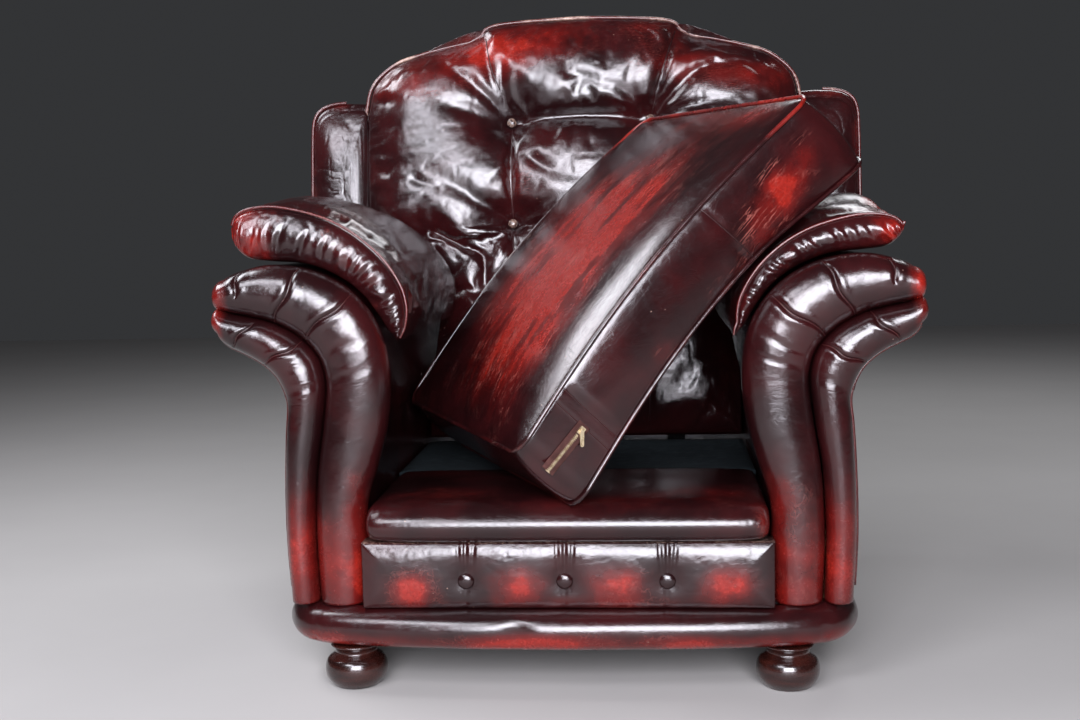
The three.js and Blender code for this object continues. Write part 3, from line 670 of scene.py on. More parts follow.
def wood(name, dark, light, roughness, coat=0.0):
    """Wood with its grain upright, bare or under a coat of varnish."""
    n = Nodes(name)
    grain = n.noise(n.place((6, 6, 40)), 2.2, 8, 0.62, 1.2)
    pores = n.noise(n.place((24, 24, 160)), 12, 3, 0.6)
    colour = n.mix(n.ramp(grain, 0.35, 0.7), dark, light)
    colour = n.mix(n.ramp(pores, 0.62, 0.72, 0.0, 0.5), colour, tuple(0.4 * c for c in dark))
    n.link(colour, n.shader.inputs["Base Color"])
    n.link(n.ramp(pores, 0.3, 0.7, roughness - 0.05, roughness + 0.12), n.shader.inputs["Roughness"])
    n.shader.inputs["Coat Weight"].default_value = coat
    n.shader.inputs["Coat Roughness"].default_value = 0.12
    n.link(n.bump(pores, 0.25, 0.0004), n.shader.inputs["Normal"])
    return n.material


def metal(name, colour, roughness, tarnish):
    """Metal with stains of tarnish."""
    n = Nodes(name)
    here = n.place()
    stain = n.noise(here, 160, 6, 0.65)
    n.link(n.mix(n.ramp(stain, 0.42, 0.66), colour, tarnish), n.shader.inputs["Base Color"])
    n.shader.inputs["Metallic"].default_value = 1.0
    n.link(n.ramp(stain, 0.3, 0.7, roughness, roughness + 0.25), n.shader.inputs["Roughness"])
    n.link(n.bump(n.noise(here, 900, 3), 0.15, 0.0002), n.shader.inputs["Normal"])
    return n.material


def plain_stage(name, colour, roughness):
    """The floor's plain surface, with a very faint mottle."""
    n = Nodes(name)
    mottle = n.noise(n.place(), 3, 3)
    n.link(n.mix(n.ramp(mottle, 0.2, 0.8), colour, tuple(0.96 * c for c in colour)),
           n.shader.inputs["Base Color"])
    n.shader.inputs["Roughness"].default_value = roughness
    return n.material


FINISHES = {}


def finish(name):
    """A finish by name, made when it is first asked for."""
    if name not in FINISHES:
        look = bpy.context.scene.club_chair_leather
        makers = {
            "hide": lambda: leather("hide", look),
            "hide_button": lambda: leather("hide_button", look, gloss=-0.10),
            "hide_dark": lambda: leather("hide_dark", look, gloss=0.15),
            "hide_back": lambda: leather("hide_back", look, (14, 14, 60)),
            "hide_cushion": lambda: leather("hide_cushion", look, (1.7, 15, 15), 0.36),
            "hide_piping": lambda: leather("hide_piping", look, (30, 30, 30), 0.2),
            "platform": lambda: cloth("platform_cloth", look.platform, 490.0),
            # near black cloth: the real cover under the seat, and painted shade on the rails and back stile
            "dust_and_shade": lambda: cloth("dust_cloth", (0.01, 0.01, 0.01), 490.0),
            "mahogany": lambda: wood("mahogany", (0.009, 0.002, 0.0015), (0.026, 0.006, 0.004), 0.2, 0.6),
            "beech": lambda: wood("beech", (0.30, 0.17, 0.08), (0.48, 0.32, 0.17), 0.65),
            "steel": lambda: metal("spring_steel", (0.42, 0.43, 0.45), 0.4, (0.16, 0.13, 0.11)),
            "brass": lambda: metal("zip_brass", (0.72, 0.60, 0.40), 0.3, (0.30, 0.22, 0.12)),
            "tape": lambda: cloth("zip_tape_cloth", (0.035, 0.014, 0.012), 910.0),
        }
        FINISHES[name] = makers[name]()
    return FINISHES[name]


# ------------------------------------------------------------------ settings

def colour(name, description, default):
    return FloatVectorProperty(name=name, description=description, default=default, size=3,
                               min=0.0, max=1.0, subtype="COLOR")


def length(name, description, default):
    return FloatProperty(name=name, description=description, default=default, min=0.0, unit="LENGTH")


class ClubChairLeather(bpy.types.PropertyGroup):
    dark: colour("Top colour", "Near black oxblood of the unworn leather", (0.0090, 0.0019, 0.0022))
    middle: colour("Oxblood", "Lighter clouds in the unworn leather", (0.023, 0.0031, 0.0035))
    rubbed: colour("Rubbed", "Red that shows where the top colour is rubbed thin", (0.098, 0.0044, 0.0032))
    bright: colour("Rubbed through", "Red of the most worn spots", (0.27, 0.0130, 0.0065))
    scratch: colour("Scratches", "Fine scratch lines", (0.48, 0.150, 0.120))
    # Bare hide also serves as a painted highlight: the glint on the back buttons and a band along the front
    # panel's top edge.
    pale: colour("Bare hide", "Piping and specks worn to the hide", (0.40, 0.27, 0.21))
    platform: colour("Platform cloth", "Cloth of the seat platform", (0.008, 0.012, 0.014))


class ClubChairSizes(bpy.types.PropertyGroup):
    back_puff: length("Back puff", "How far the back swells between its buttons", 0.034)
    cushion_crown: length("Cushion crown", "How far the seat cushion's faces swell", 0.020)
    leather_slack: FloatProperty(name="Slack", description="Share by which the back's leather is too long",
                                 default=0.045, min=0.0, max=0.2)
    mesh_fineness: IntProperty(name="Fineness", description="Rows of points over each padded face",
                               default=88, min=40, max=220)


# ------------------------------------------------------------------ shared shapes

def box_skin(cells):
    """The outer skin of a box of cells: each point's place from 0 to 1 along three ways, and quads."""
    ids = -np.ones([n + 1 for n in cells], int)
    on = np.zeros(ids.shape, bool)
    on[[0, -1]] = True
    on[:, [0, -1]] = True
    on[:, :, [0, -1]] = True
    ids[on] = np.arange(on.sum())
    faces = []
    for axis in range(3):
        for end in (0, -1):
            side = np.take(ids, end, axis)
            quads = np.stack([side[:-1, :-1], side[1:, :-1], side[1:, 1:], side[:-1, 1:]], -1)
            faces += quads.reshape(-1, 4).tolist()
    return np.argwhere(on) / np.array(cells), faces


def without_rear(place, faces):
    """A box skin without its far side."""
    far = place[:, 2] == 1
    inside = far & (place[:, :2] > 0).all(axis=1) & (place[:, :2] < 1).all(axis=1)
    number = np.cumsum(~inside) - 1
    faces = np.array(faces)
    return place[~inside], number[faces[~far[faces].all(axis=1)]].tolist()


def close_rear(piece):
    """Closes a skin's one open side with a single face."""
    bm = bmesh.new()
    bm.from_mesh(piece.data)
    bmesh.ops.edgeloop_fill(bm, edges=[edge for edge in bm.edges if edge.is_boundary])
    bmesh.ops.recalc_face_normals(bm, faces=bm.faces)
    bm.to_mesh(piece.data)
    bm.free()


def pick(line, share):
    """The place at a share from 0 to 1 of the way along a list of points."""
    at = np.asarray(share) * (len(line) - 1)
    low = np.clip(np.floor(at).astype(int), 0, len(line) - 2)
    part = (at - low)[..., None]
    return line[low] * (1 - part) + line[low + 1] * part


def coons(u, v, bottom, top, left, right):
    """A patch between four edge lines that meet at its corners."""
    uu, vv = u[:, None], v[:, None]
    sides = (1 - vv) * pick(bottom, u) + vv * pick(top, u) + (1 - uu) * pick(left, v) + uu * pick(right, v)
    corners = ((1 - uu) * (1 - vv) * bottom[0] + uu * (1 - vv) * bottom[-1]
               + (1 - uu) * vv * top[0] + uu * vv * top[-1])
    return sides - corners


def bevel_of(u, v, wide, tall):
    """Distance to the nearest edge of a face wide by tall, at shares u and v over it."""
    return np.minimum(np.minimum(v, 1 - v) * tall, np.minimum(u, 1 - u) * wide)


def edge_distance(points, outline):
    """Distance from flat points to the nearest edge of a closed outline."""
    outline = np.asarray(outline, float)
    best = np.full(len(points), 1e9)
    for a, b in zip(outline, np.roll(outline, -1, 0)):
        best = np.minimum(best, to_segment(points, a, b)[0])
    return best


TURNED_SIDES = 44


def turned(name, profile, centre, axis):
    """A piece turned on a lathe: a profile of radius and height about an axis through a centre."""
    axis = np.asarray(axis, float) / np.linalg.norm(axis)
    side = np.cross(axis, [0.0, 1.0, 0.31])
    side /= np.linalg.norm(side)
    other = np.cross(axis, side)
    angle = np.linspace(0, TURN, TURNED_SIDES, endpoint=False)
    ring = np.cos(angle)[:, None] * side + np.sin(angle)[:, None] * other
    rings = [np.asarray(centre) + r * ring + h * axis for r, h in profile]
    return tube_piece(name, rings)


def mound(profile, count):
    """A turned profile made smooth, without its two ends on the axis."""
    line = station_line(profile, count)
    line[:, 0] = np.maximum(line[:, 0], 0.0002)
    return line


# ------------------------------------------------------------------ base roll and feet

BASE_LINE = [(367, 355), (367, 120), (367, -120), (367, -290), (361, -340), (334, -371), (250, -387),
             (125, -397), (0, -400)]
BASE_PROUD = 40 * MM
BASE_CORNER_X = 352 * MM  # where the leather is tucked as the roll turns the front corners


def make_base_roll():
    """The padded roll around the base, open behind, with a dent in front and two tucks."""
    steps, sides = 520, 26
    line = spline(np.array(mirrored(BASE_LINE)) * MM, steps)
    along = np.gradient(line, axis=0)
    along /= np.linalg.norm(along, axis=1)[:, None]
    out = np.stack([-along[:, 1], along[:, 0]], 1)
    out *= np.sign(np.sum(out * (line - [0, 0.1]), axis=1))[:, None]
    angle = np.linspace(-0.5, 0.5, sides) * math.pi
    half, middle = (BASE_TOP - BASE_BOTTOM) / 2, (BASE_TOP + BASE_BOTTOM) / 2
    proud = BASE_PROUD * np.cos(angle) ** 0.72
    rise = middle + half * np.sin(angle)
    rings = np.empty((steps, sides, 3))
    uneven = 1 + 0.03 * value_noise(np.column_stack([line, np.zeros(steps)]), 90 * MM, 3)
    rings[:, :, :2] = line[:, None] + out[:, None] * (proud[None, :] * uneven[:, None])[..., None]
    rings[:, :, 2] = rise
    dent = bell(np.linalg.norm(rings - [-0.070, -0.436, 0.088], axis=2), 20 * MM)
    rings[:, :, 1] += 6 * MM * dent
    for x in (-BASE_CORNER_X, BASE_CORNER_X):
        d = np.abs(rings[:, :, 0] - x - 0.2 * (rings[:, :, 2] - middle))
        front = rings[:, :, 1] < -0.30
        tuck = bell(d, 2.2 * MM) * front * np.cos(angle)[None] ** 0.3
        rings[:, :, :2] -= out[:, None] * (3 * MM * tuck)[..., None]
    piece = tube_piece("base_roll_cover", placed(rings))
    wrinkle(piece, 0.5 * MM, 26 * MM, 5)
    p = coordinates(piece.data)
    low = smooth((0.099 - p[:, 2]) / 0.028)
    front = smooth((-0.20 - p[:, 1]) / 0.15)
    cloud = 0.62 + 0.55 * fractal(p, 85 * MM, 8)
    rub = 1.3 * low * cloud * (0.35 + 0.65 * front)
    rub += 0.35 * patches(p, [((-0.03, -0.42, 0.085), (0.08, 0.06, 0.014), 1.0)])
    dress(piece, finish("hide"), ["base_roll"], rub=rub)


# Half sections of the turned pieces, in millimetres: radius and height.
FOOT_PROFILE = [(0, 0), (28, 0), (35, 4), (42, 14), (44, 26), (41, 38), (33, 45), (29, 49), (31, 54),
                (34, 60.6), (0, 60.8)]
FRONT_BUTTON_PROFILE = [(0, 1), (10.6, 0.4), (11.4, 2.6), (9.4, 5.4), (5, 7.2), (0, 7.7)]
BACK_BUTTON_PROFILE = [(0, 0.2), (7.8, 0.2), (8.6, 2.4), (7.4, 5.2), (4, 7.2), (0, 7.8)]


def make_feet():
    for end in ("front", "rear"):
        for side, _ in SIDES:
            low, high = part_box(f"foot_{end}_{side}")
            centre = ((low.x + high.x) / 2, (low.y + high.y) / 2, low.z)
            profile = mound(np.array(FOOT_PROFILE) * MM, 44)
            foot = turned(f"bun_foot_{end}_{side}", profile, centre, (0, 0, 1))
            dress(foot, finish("mahogany"), [f"foot_{end}_{side}"])


# ------------------------------------------------------------------ front of the seat

SEAT_HALF = 279 * MM
PANEL_Y, PANEL_LOW, PANEL_HIGH = -408 * MM, 118.5 * MM, 210 * MM
PANEL_DEEP, PANEL_PUFF = 36 * MM, 9 * MM
FRONT_BUTTONS = {"left": -138 * MM, "middle": -2 * MM, "right": 138 * MM}
BUTTON_Z = 157 * MM
BUTTON_PLEATS = ((-7, 2.0), (0.5, 3.4), (8, 2.0))  # beside a button's middle, and how deep

# Rubbed spots over the front panel: the middle and reach along X and Z, and the strength.
PANEL_SPOTS = [((-0.212, 0.150), (0.034, 0.026), 1.25), ((-0.066, 0.152), (0.040, 0.026), 1.05),
               ((0.071, 0.156), (0.040, 0.026), 1.15), ((0.219, 0.152), (0.040, 0.026), 1.2),
               ((0.0, 0.128), (0.27, 0.010), 0.35)]


def make_front_panel():
    """The buttoned panel below the seat, pleated above each button."""
    place, faces = box_skin((230, 46, 3))
    u, v, k = place.T
    x = (2 * u - 1) * (SEAT_HALF + 4 * MM)
    z = PANEL_LOW + v * (PANEL_HIGH - PANEL_LOW)
    edge = bevel_of(u, v, 2 * SEAT_HALF, PANEL_HIGH - PANEL_LOW)
    bulge = PANEL_PUFF * (1 - np.exp(-edge / (13 * MM)))
    for button in FRONT_BUTTONS.values():
        r = np.hypot(x - button, z - BUTTON_Z)
        bulge -= 8.4 * MM * np.exp(-(r / (19 * MM)) ** 1.4)
        for offset, deep in BUTTON_PLEATS:
            slant = x - button - offset * MM * (1 + 0.5 * (z - BUTTON_Z) / (50 * MM))
            above = smooth((z - BUTTON_Z - 4 * MM) / (14 * MM))
            bulge -= deep * MM * bell(slant, 2.1 * MM) * above
        below = smooth((BUTTON_Z - 6 * MM - z) / (12 * MM))
        bulge -= 1.6 * MM * bell(x - button + 1 * MM, 3.2 * MM) * below
    points = np.stack([x, PANEL_Y - bulge * (1 - k) + k * PANEL_DEEP, z], 1)
    points[:, 1] += 1.2 * MM * fractal(points, 60 * MM, 4) * (1 - k)
    piece = mesh_piece("front_panel_cover", placed(points), faces)
    wrinkle(piece, 0.5 * MM, 15 * MM, 9)
    p = coordinates(piece.data)
    rub = patches(p[:, ::2], PANEL_SPOTS) * (0.85 + 0.5 * fractal(p, 30 * MM, 21))
    # A pale band along the top edge under the lip: partly wear, partly a painted highlight along that edge.
    pale = 0.45 * smooth((p[:, 2] - 0.2065) / 0.003)
    dress(piece, finish("hide"), ["front_panel"], rub=rub, pale=pale)
    profile = mound(np.array(FRONT_BUTTON_PROFILE) * MM, 22)
    for name, x in FRONT_BUTTONS.items():
        centre = placed((x, PANEL_Y - 0.2 * MM, BUTTON_Z))
        button = turned(f"front_button_cover_{name}", profile, centre, (0, -1, 0))
        dress(button, finish("hide"), [f"front_button_{name}"], rub=0.05)


# Section of the seat lip, in millimetres: Y and Z, over its top, around its front and back below.
LIP_LINE = [(-130, 247), (-130, 261), (-200, 262), (-300, 263), (-370, 263.5), (-398, 262), (-414, 256),
            (-425, 246), (-428.5, 234), (-424, 221), (-412, 212), (-395, 210.6), (-372, 211)]


LIP_MIDDLE = (-372 * MM, 232 * MM)

LIP_SPOTS = [((-0.19, -0.33, 0.262), (0.085, 0.06, 0.03), 0.55),
             ((0.19, -0.33, 0.262), (0.085, 0.06, 0.03), 0.6),
             ((0.0, -0.37, 0.262), (0.12, 0.035, 0.03), 0.3),
             ((0.27, -0.385, 0.235), (0.016, 0.03, 0.03), 0.8)]


def make_lip():
    """The padded front edge of the seat, drawn in and gathered at both ends."""
    columns, around = 124, 56
    line = spline(np.array(LIP_LINE) * MM, around)
    x = np.linspace(-1, 1, columns) * SEAT_HALF
    rings = np.empty((columns, around, 3))
    for i, here in enumerate(x):
        from_end = SEAT_HALF - abs(here)
        full = 1 - 0.5 * math.exp(-from_end / (4 * MM)) - 0.16 * math.exp(-from_end / (26 * MM))
        back = smooth((line[:, 0] + 330 * MM) / (150 * MM))
        y = LIP_MIDDLE[0] + (line[:, 0] - LIP_MIDDLE[0]) * (full + (1 - full) * back)
        z = LIP_MIDDLE[1] + (line[:, 1] - LIP_MIDDLE[1]) * (full + (1 - full) * (back * 0.4))
        crown = 7 * MM * math.cos(0.5 * math.pi * here / SEAT_HALF) ** 0.5
        z = z + crown * smooth((line[:, 1] - 250 * MM) / (10 * MM)) * bell(line[:, 0] + 300 * MM, 120 * MM)
        rings[i] = np.stack([np.full(around, here), y, z], 1)
    piece = refine(tube_piece("seat_lip_cover", placed(rings)))
    p = coordinates(piece.data)
    near_end = np.exp(-(SEAT_HALF - np.abs(p[:, 0])) / (26 * MM))
    wrinkle(piece, 2.6 * MM, 17 * MM, 31, mask=near_end)
    wrinkle(piece, 0.45 * MM, 34 * MM, 33)
    p = coordinates(piece.data)
    rub = patches(p, LIP_SPOTS) * (0.8 + 0.7 * fractal(p, 40 * MM, 35))
    pale = 0.35 * near_end * smooth(0.3 + fractal(p, 12 * MM, 36))
    dress(piece, finish("hide"), ["seat_lip"], rub=rub, pale=pale)


def make_platform():
    """The dark cloth platform that the cushion lies on, sagging in the middle."""
    low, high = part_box("seat_platform")
    place, faces = box_skin((60, 36, 2))
    u, v, k = place.T
    sag = 7 * MM * np.sin(math.pi * u) * np.sin(math.pi * v)
    edge = 3 * MM * np.exp(-bevel_of(u, v, 60, 60))
    z = low.z + (high.z - low.z) * k - (sag + edge) * k
    points = np.stack([low.x + (high.x - low.x) * u, low.y + (high.y - low.y) * v, z], 1)
    points[:, 2] += 1.2 * MM * fractal(points, 90 * MM, 12) * k
    piece = mesh_piece("seat_platform_cover", points, faces)
    dress(piece, finish("platform"), ["seat_platform"])


# ------------------------------------------------------------------ arms

ARM_BOTTOM = 118 * MM

# Stations up the front of an arm, in millimetres: X and Z of the inner edge of the big roll, of the
# seam between the rolls, and of the outer edge of the outer roll.
ARM_STATIONS = np.array([
    (284, 118, 353, 118, 394, 118), (281, 200, 356, 195, 398, 200), (281, 256, 355, 252, 398, 258),
    (264, 314, 351, 306, 396, 313), (249, 368, 343, 357, 393, 361), (243, 425, 337, 400, 390, 392),
    (246, 470, 335, 430, 393, 412), (260, 513, 342, 460, 404, 436), (287, 550, 358, 483, 420, 453),
    (325, 577, 380, 501, 438, 465), (370, 592, 408, 515, 456, 474), (415, 595, 438, 523, 470, 481),
    (455, 586, 462, 528, 480, 490), (474, 576, 474, 532, 484, 499)]) * MM

# Darts across the rolls: the share of the way up, how far across from the inner edge (0) to the
# outer one (1) each starts and ends, its slant along the roll, and its depth.
BIG_DARTS = {"right": [(0.575, 0.0, 1.0, 0.012, 3.6), (0.70, 0.0, 1.0, 0.0, 3.6),
                       (0.845, 0.05, 0.55, 0.0, 2.6)],
             "left": [(0.60, 0.0, 0.9, 0.010, 3.4), (0.72, 0.0, 1.0, 0.0, 3.2), (0.86, 0.05, 0.6, 0.0, 2.4)]}
SMALL_DARTS = {"right": [(0.55, 0.0, 1.0, 0.0, 3.2), (0.74, 0.0, 0.95, 0.0, 3.0)],
               "left": [(0.60, 0.0, 1.0, 0.0, 3.2), (0.78, 0.1, 0.9, 0.0, 2.4)]}


ROLL_TIP = 15 * MM  # how far the round tip stands past the last station


def roll_rings(edge_a, edge_b, proud, s, darts, seed):
    """Rings of a half round roll between two edge lines, and the line along each of its darts."""
    steps, sides, tip = 320, 40, 16
    a, b = station_line(edge_a, steps), station_line(edge_b, steps)
    run = np.linspace(0, 1, steps)
    tip_turn = np.linspace(0, 0.5 * math.pi, tip + 1)[1:]
    over = np.concatenate([np.zeros(steps), ROLL_TIP * np.sin(tip_turn)])
    full = np.concatenate([np.ones(steps), np.cos(np.linspace(0, 0.485 * math.pi, tip + 1)[1:]) ** 0.55])
    ahead = (a[-1] - a[-2]) + (b[-1] - b[-2])
    ahead /= np.linalg.norm(ahead)
    a = np.vstack([a, np.repeat(a[-1:], tip, 0)]) + over[:, None] * ahead
    b = np.vstack([b, np.repeat(b[-1:], tip, 0)]) + over[:, None] * ahead
    run = np.concatenate([run, np.ones(tip)])
    angle = np.linspace(0, math.pi, sides)
    across = np.cos(angle)[None] * full[:, None]
    middle, half = (a + b) / 2, (a - b) / 2
    share = 0.5 - 0.5 * np.cos(angle)[None] * np.ones((len(run), 1))
    length = np.concatenate([[0], np.cumsum(np.linalg.norm(np.diff(middle, axis=0), axis=1))])
    mark = np.zeros((len(run), sides))
    lip = np.zeros_like(mark)
    stitched = []
    for at, start, end, slant, deep in darts:
        centre = np.interp(at + slant * (share - 0.5) * 2, np.linspace(0, 1, len(length)), length)
        centre = centre - 2.5 * MM * np.sin(9 * share + at * 40)
        d = length[:, None] - centre
        stitched.append((np.interp(centre[0], length, np.arange(len(length))), start, end))
        on = smooth((share - start + 0.04) / 0.08) * smooth((end + 0.04 - share) / 0.08)
        mark += deep * MM * bell(d, 2.6 * MM) * on
        lip += 0.9 * MM * bell(np.abs(d) - 8 * MM, 5 * MM) * on
    rise = proud * full[:, None] * np.sin(angle)[None] ** 0.78
    rings = np.zeros((len(run), sides, 3))
    rings[..., 0] = s * (middle[:, :1] + half[:, :1] * across)
    rings[..., 2] = middle[:, 1:] + half[:, 1:] * across
    lumps = fractal(rings, 90 * MM, seed) * 1.5 * MM * np.sin(angle)[None]
    rings[..., 1] = ROLL_BACK_Y - 0.4 * MM - rise - lumps * full[:, None]
    rings[..., 1] += (mark - lip) * np.sin(angle)[None] ** 0.4
    # Shallow creases on the inside of the bend, where the leather is pushed together.
    bend = np.exp(-((run - 0.50) / 0.06) ** 2)[:, None]
    fold = np.maximum(0, np.sin(length[:, None] / (5.2 * MM) + 2 * value_noise(rings, 40 * MM, seed + 3)))
    rings[..., 1] += 0.9 * MM * bend * fold * np.sin(angle)[None]
    lines = []
    for row, start, end in stitched:
        keep = (share[0] > start + 0.02) & (share[0] < end - 0.02) & (np.sin(angle) > 0.25)
        low = np.floor(row).astype(int)
        part = (row - low)[:, None]
        columns = np.arange(sides)
        path = rings[low, columns] * (1 - part) + rings[low + 1, columns] * part
        lines.append(path[keep])
    return rings, lines


def roll_wear(p, outer, seed):
    """How rubbed the points of a front roll are: most at its foot and at its tip."""
    x, z = np.abs(p[:, 0]), p[:, 2]
    foot, tip_x, side = (0.62, 0.462, 0.55) if outer else (0.40, 0.452, 0.28)
    cloud = fractal(p, 55 * MM, seed)
    rub = foot * smooth((0.33 - z) / 0.16) + 1.1 * smooth((x - tip_x) / 0.026) + side * bell(z - 0.20, 0.09)
    rub += 0.4 * bell(x - 0.29, 0.02) * smooth((0.34 - z) / 0.05)
    return rub * (0.78 + 0.5 * cloud) + 0.12 * smooth(2 * cloud - 0.2)


def make_rolls():
    """The two padded rolls on the front of each arm, with their darts, and the welt outside."""
    seams = [ARM_STATIONS[:, 0:2], ARM_STATIONS[:, 2:4], ARM_STATIONS[:, 4:6]]
    gap = np.array([0.6 * MM, 0])
    for side, s in SIDES:
        for name, a, b, proud, darts, seed in (
                ("arm_front_roll", seams[0], seams[1] - gap, 42 * MM, BIG_DARTS[side], 40 + s),
                ("arm_outer_roll", seams[1] + gap, seams[2], 36 * MM, SMALL_DARTS[side], 50 + s)):
            rings, dart_lines = roll_rings(a, b, proud, s, darts, seed)
            piece = tube_piece(f"{name}_cover_{side}", placed(rings))
            wrinkle(piece, 0.35 * MM, 26 * MM, seed)
            p = coordinates(piece.data)
            outer = name == "arm_outer_roll"
            rub = roll_wear(p, outer, seed + 5)
            slot, pale = "leather_dark", 0.0
            if outer:
                slot = "leather_rubbed"
                pale = 0.5 * smooth((np.abs(p[:, 0]) - 0.468) / 0.02)
                pale *= smooth(0.2 + fractal(p, 9 * MM, seed + 6))
            dress(piece, finish("hide"), [f"{name}_{side}"], rub=rub, pale=pale)
            for i, line in enumerate(dart_lines):
                sewn_seam(f"{name}_dart_{side}_{i + 1}", piece, placed(line), (0, 1, 0), 0.8 * MM, 0.25)
        edge = station_line(seams[2], 120)
        line = np.stack([s * (edge[:, 0] + 1.5 * MM), np.full(120, ROLL_BACK_Y - 1 * MM), edge[:, 1]], 1)
        welt = piping(f"arm_welt_{side}", placed(line[2:]), 2.4 * MM, seed=60 + s)
        dress_cord(welt, 0.5, 0.12)


# Section of an arm, in millimetres: X and Z up its inner face, over its top and down its outer one.
ARM_WALL = [(286, 118), (286, 250), (286, 380), (282, 440), (273, 490), (280, 530), (300, 555), (330, 575),
            (370, 590), (415, 593.5), (455, 584), (478, 571), (487, 552), (488, 512), (480, 489), (456, 473),
            (425, 455), (404, 435), (397, 408)]
ARM_CORE = [(387, 402), (387, 437), (338, 437), (338, 118)]


def arm_section():
    """Points around an arm's section, and which of them are on its padded face."""
    outer = spline(np.array(ARM_WALL) * MM, 120)
    core = np.array(ARM_CORE) * MM
    inner = np.vstack([even(core[0:2], 6), even(core[1:3], 8)[1:], even(core[2:4], 24)[1:]])
    section = np.vstack([outer, inner])
    return section, np.arange(len(section)) < len(outer)


def make_inside_arm(side, s):
    """The padded arm itself, drawn in a little towards the back."""
    section, padded = arm_section()
    x, z = section.T
    steps, bend_x = 90, 0.40
    rings = np.empty((steps, len(section), 3))
    for i in range(steps):
        share = i / (steps - 1)
        bulge = 3 * MM * math.sin(math.pi * share) ** 0.5
        wide = np.where(padded & (z < 0.45), x - bulge * (x < 0.3), x)
        drawn_in = bend_x + (wide - bend_x) * (1.0 - 0.06 * share)
        y = ROLL_BACK_Y + share * (arm_rear_y(z) - ROLL_BACK_Y)
        rings[i] = np.stack([s * np.where(wide > bend_x, drawn_in, wide), y, z], 1)
    faces = grid_faces(steps, len(section), False, True)
    faces += [list(range(len(section))), [(steps - 1) * len(section) + j for j in range(len(section))]]
    piece = mesh_piece(f"arm_inside_cover_{side}", placed(rings), faces)
    wrinkle(piece, 1.4 * MM, 60 * MM, 70 + s)
    p = coordinates(piece.data)
    rub = 0.35 * smooth(0.1 + fractal(p, 120 * MM, 71)) * smooth((0.30 - p[:, 2]) / 0.1)
    rub += 0.6 * bell(p[:, 2] - 0.585, 0.03) * smooth(0.3 + fractal(p, 70 * MM, 72))
    dress(piece, finish("hide"), [f"arm_inside_{side}"], rub=rub)


def make_outside_arm(side, s):
    """The flat leather panel on the outside of an arm."""
    place, faces = box_skin((70, 40, 2))
    u, v, k = place.T
    z = ARM_BOTTOM + 0.5 * MM + v * (401 * MM - ARM_BOTTOM)
    y = ROLL_BACK_Y + 0.5 * MM + u * (arm_rear_y(z) - ROLL_BACK_Y)
    bulge = 4.5 * MM * (1 - np.exp(-bevel_of(u, v, 0.7, 0.3) / 0.03))
    x = (387.6 + 8.5 * k) * MM + (bulge - 2 * MM) * k
    piece = mesh_piece(f"arm_outside_cover_{side}", placed(np.stack([s * x, y, z], 1)), faces)
    wrinkle(piece, 1.2 * MM, 90 * MM, 74 + s)
    p = coordinates(piece.data)
    rub = 0.6 * smooth((0.20 - p[:, 2]) / 0.08) * (0.7 + fractal(p, 60 * MM, 75))
    rub += 0.25 * smooth(fractal(p, 110 * MM, 76) * 2)
    dress(piece, finish("hide"), [f"arm_outside_{side}"], rub=rub)


# ------------------------------------------------------------------ arm pillows

# Upper and lower edges of a pillow's front, in millimetres: X and Z, from its outer end inwards.
PILLOW_UPPER = np.array([(468, 647), (460, 664), (440, 674), (405, 676), (360, 667), (322, 653), (288, 632),
                         (255, 602), (231, 566), (222, 535), (224, 507), (232, 488)]) * MM
PILLOW_LOWER = np.array([(467, 633), (461, 617), (445, 603), (412, 598.5), (372, 595), (337, 584), (306, 567),
                         (281, 544), (261, 516), (250, 498), (241, 489), (236, 484)]) * MM
PILLOW_FRONT, PILLOW_REAR = -350 * MM, 176 * MM
PILLOW_DEEP = PILLOW_REAR - PILLOW_FRONT


def pillow_rows(u, far, pressed, full):
    """Upper and lower places of a pillow's section at shares u along it, and far behind its front."""
    upper, lower = pick(station_line(PILLOW_UPPER, 200), u), pick(station_line(PILLOW_LOWER, 200), u)
    out = upper - lower
    tall = np.linalg.norm(out, axis=-1, keepdims=True)
    out = out / tall
    press = (14 + 16 * bell(far, 120 * MM)) * MM * full if pressed else 0 * far
    crown = 15 * MM * np.sin(math.pi * np.clip(far / PILLOW_DEEP, 0, 1)) - press
    middle = (upper + lower) / 2
    thick = np.minimum(1, tall / (40 * MM))
    f = full[..., None]
    return (middle + (upper - middle) * f + out * crown[..., None] * thick, middle + (lower - middle) * f)


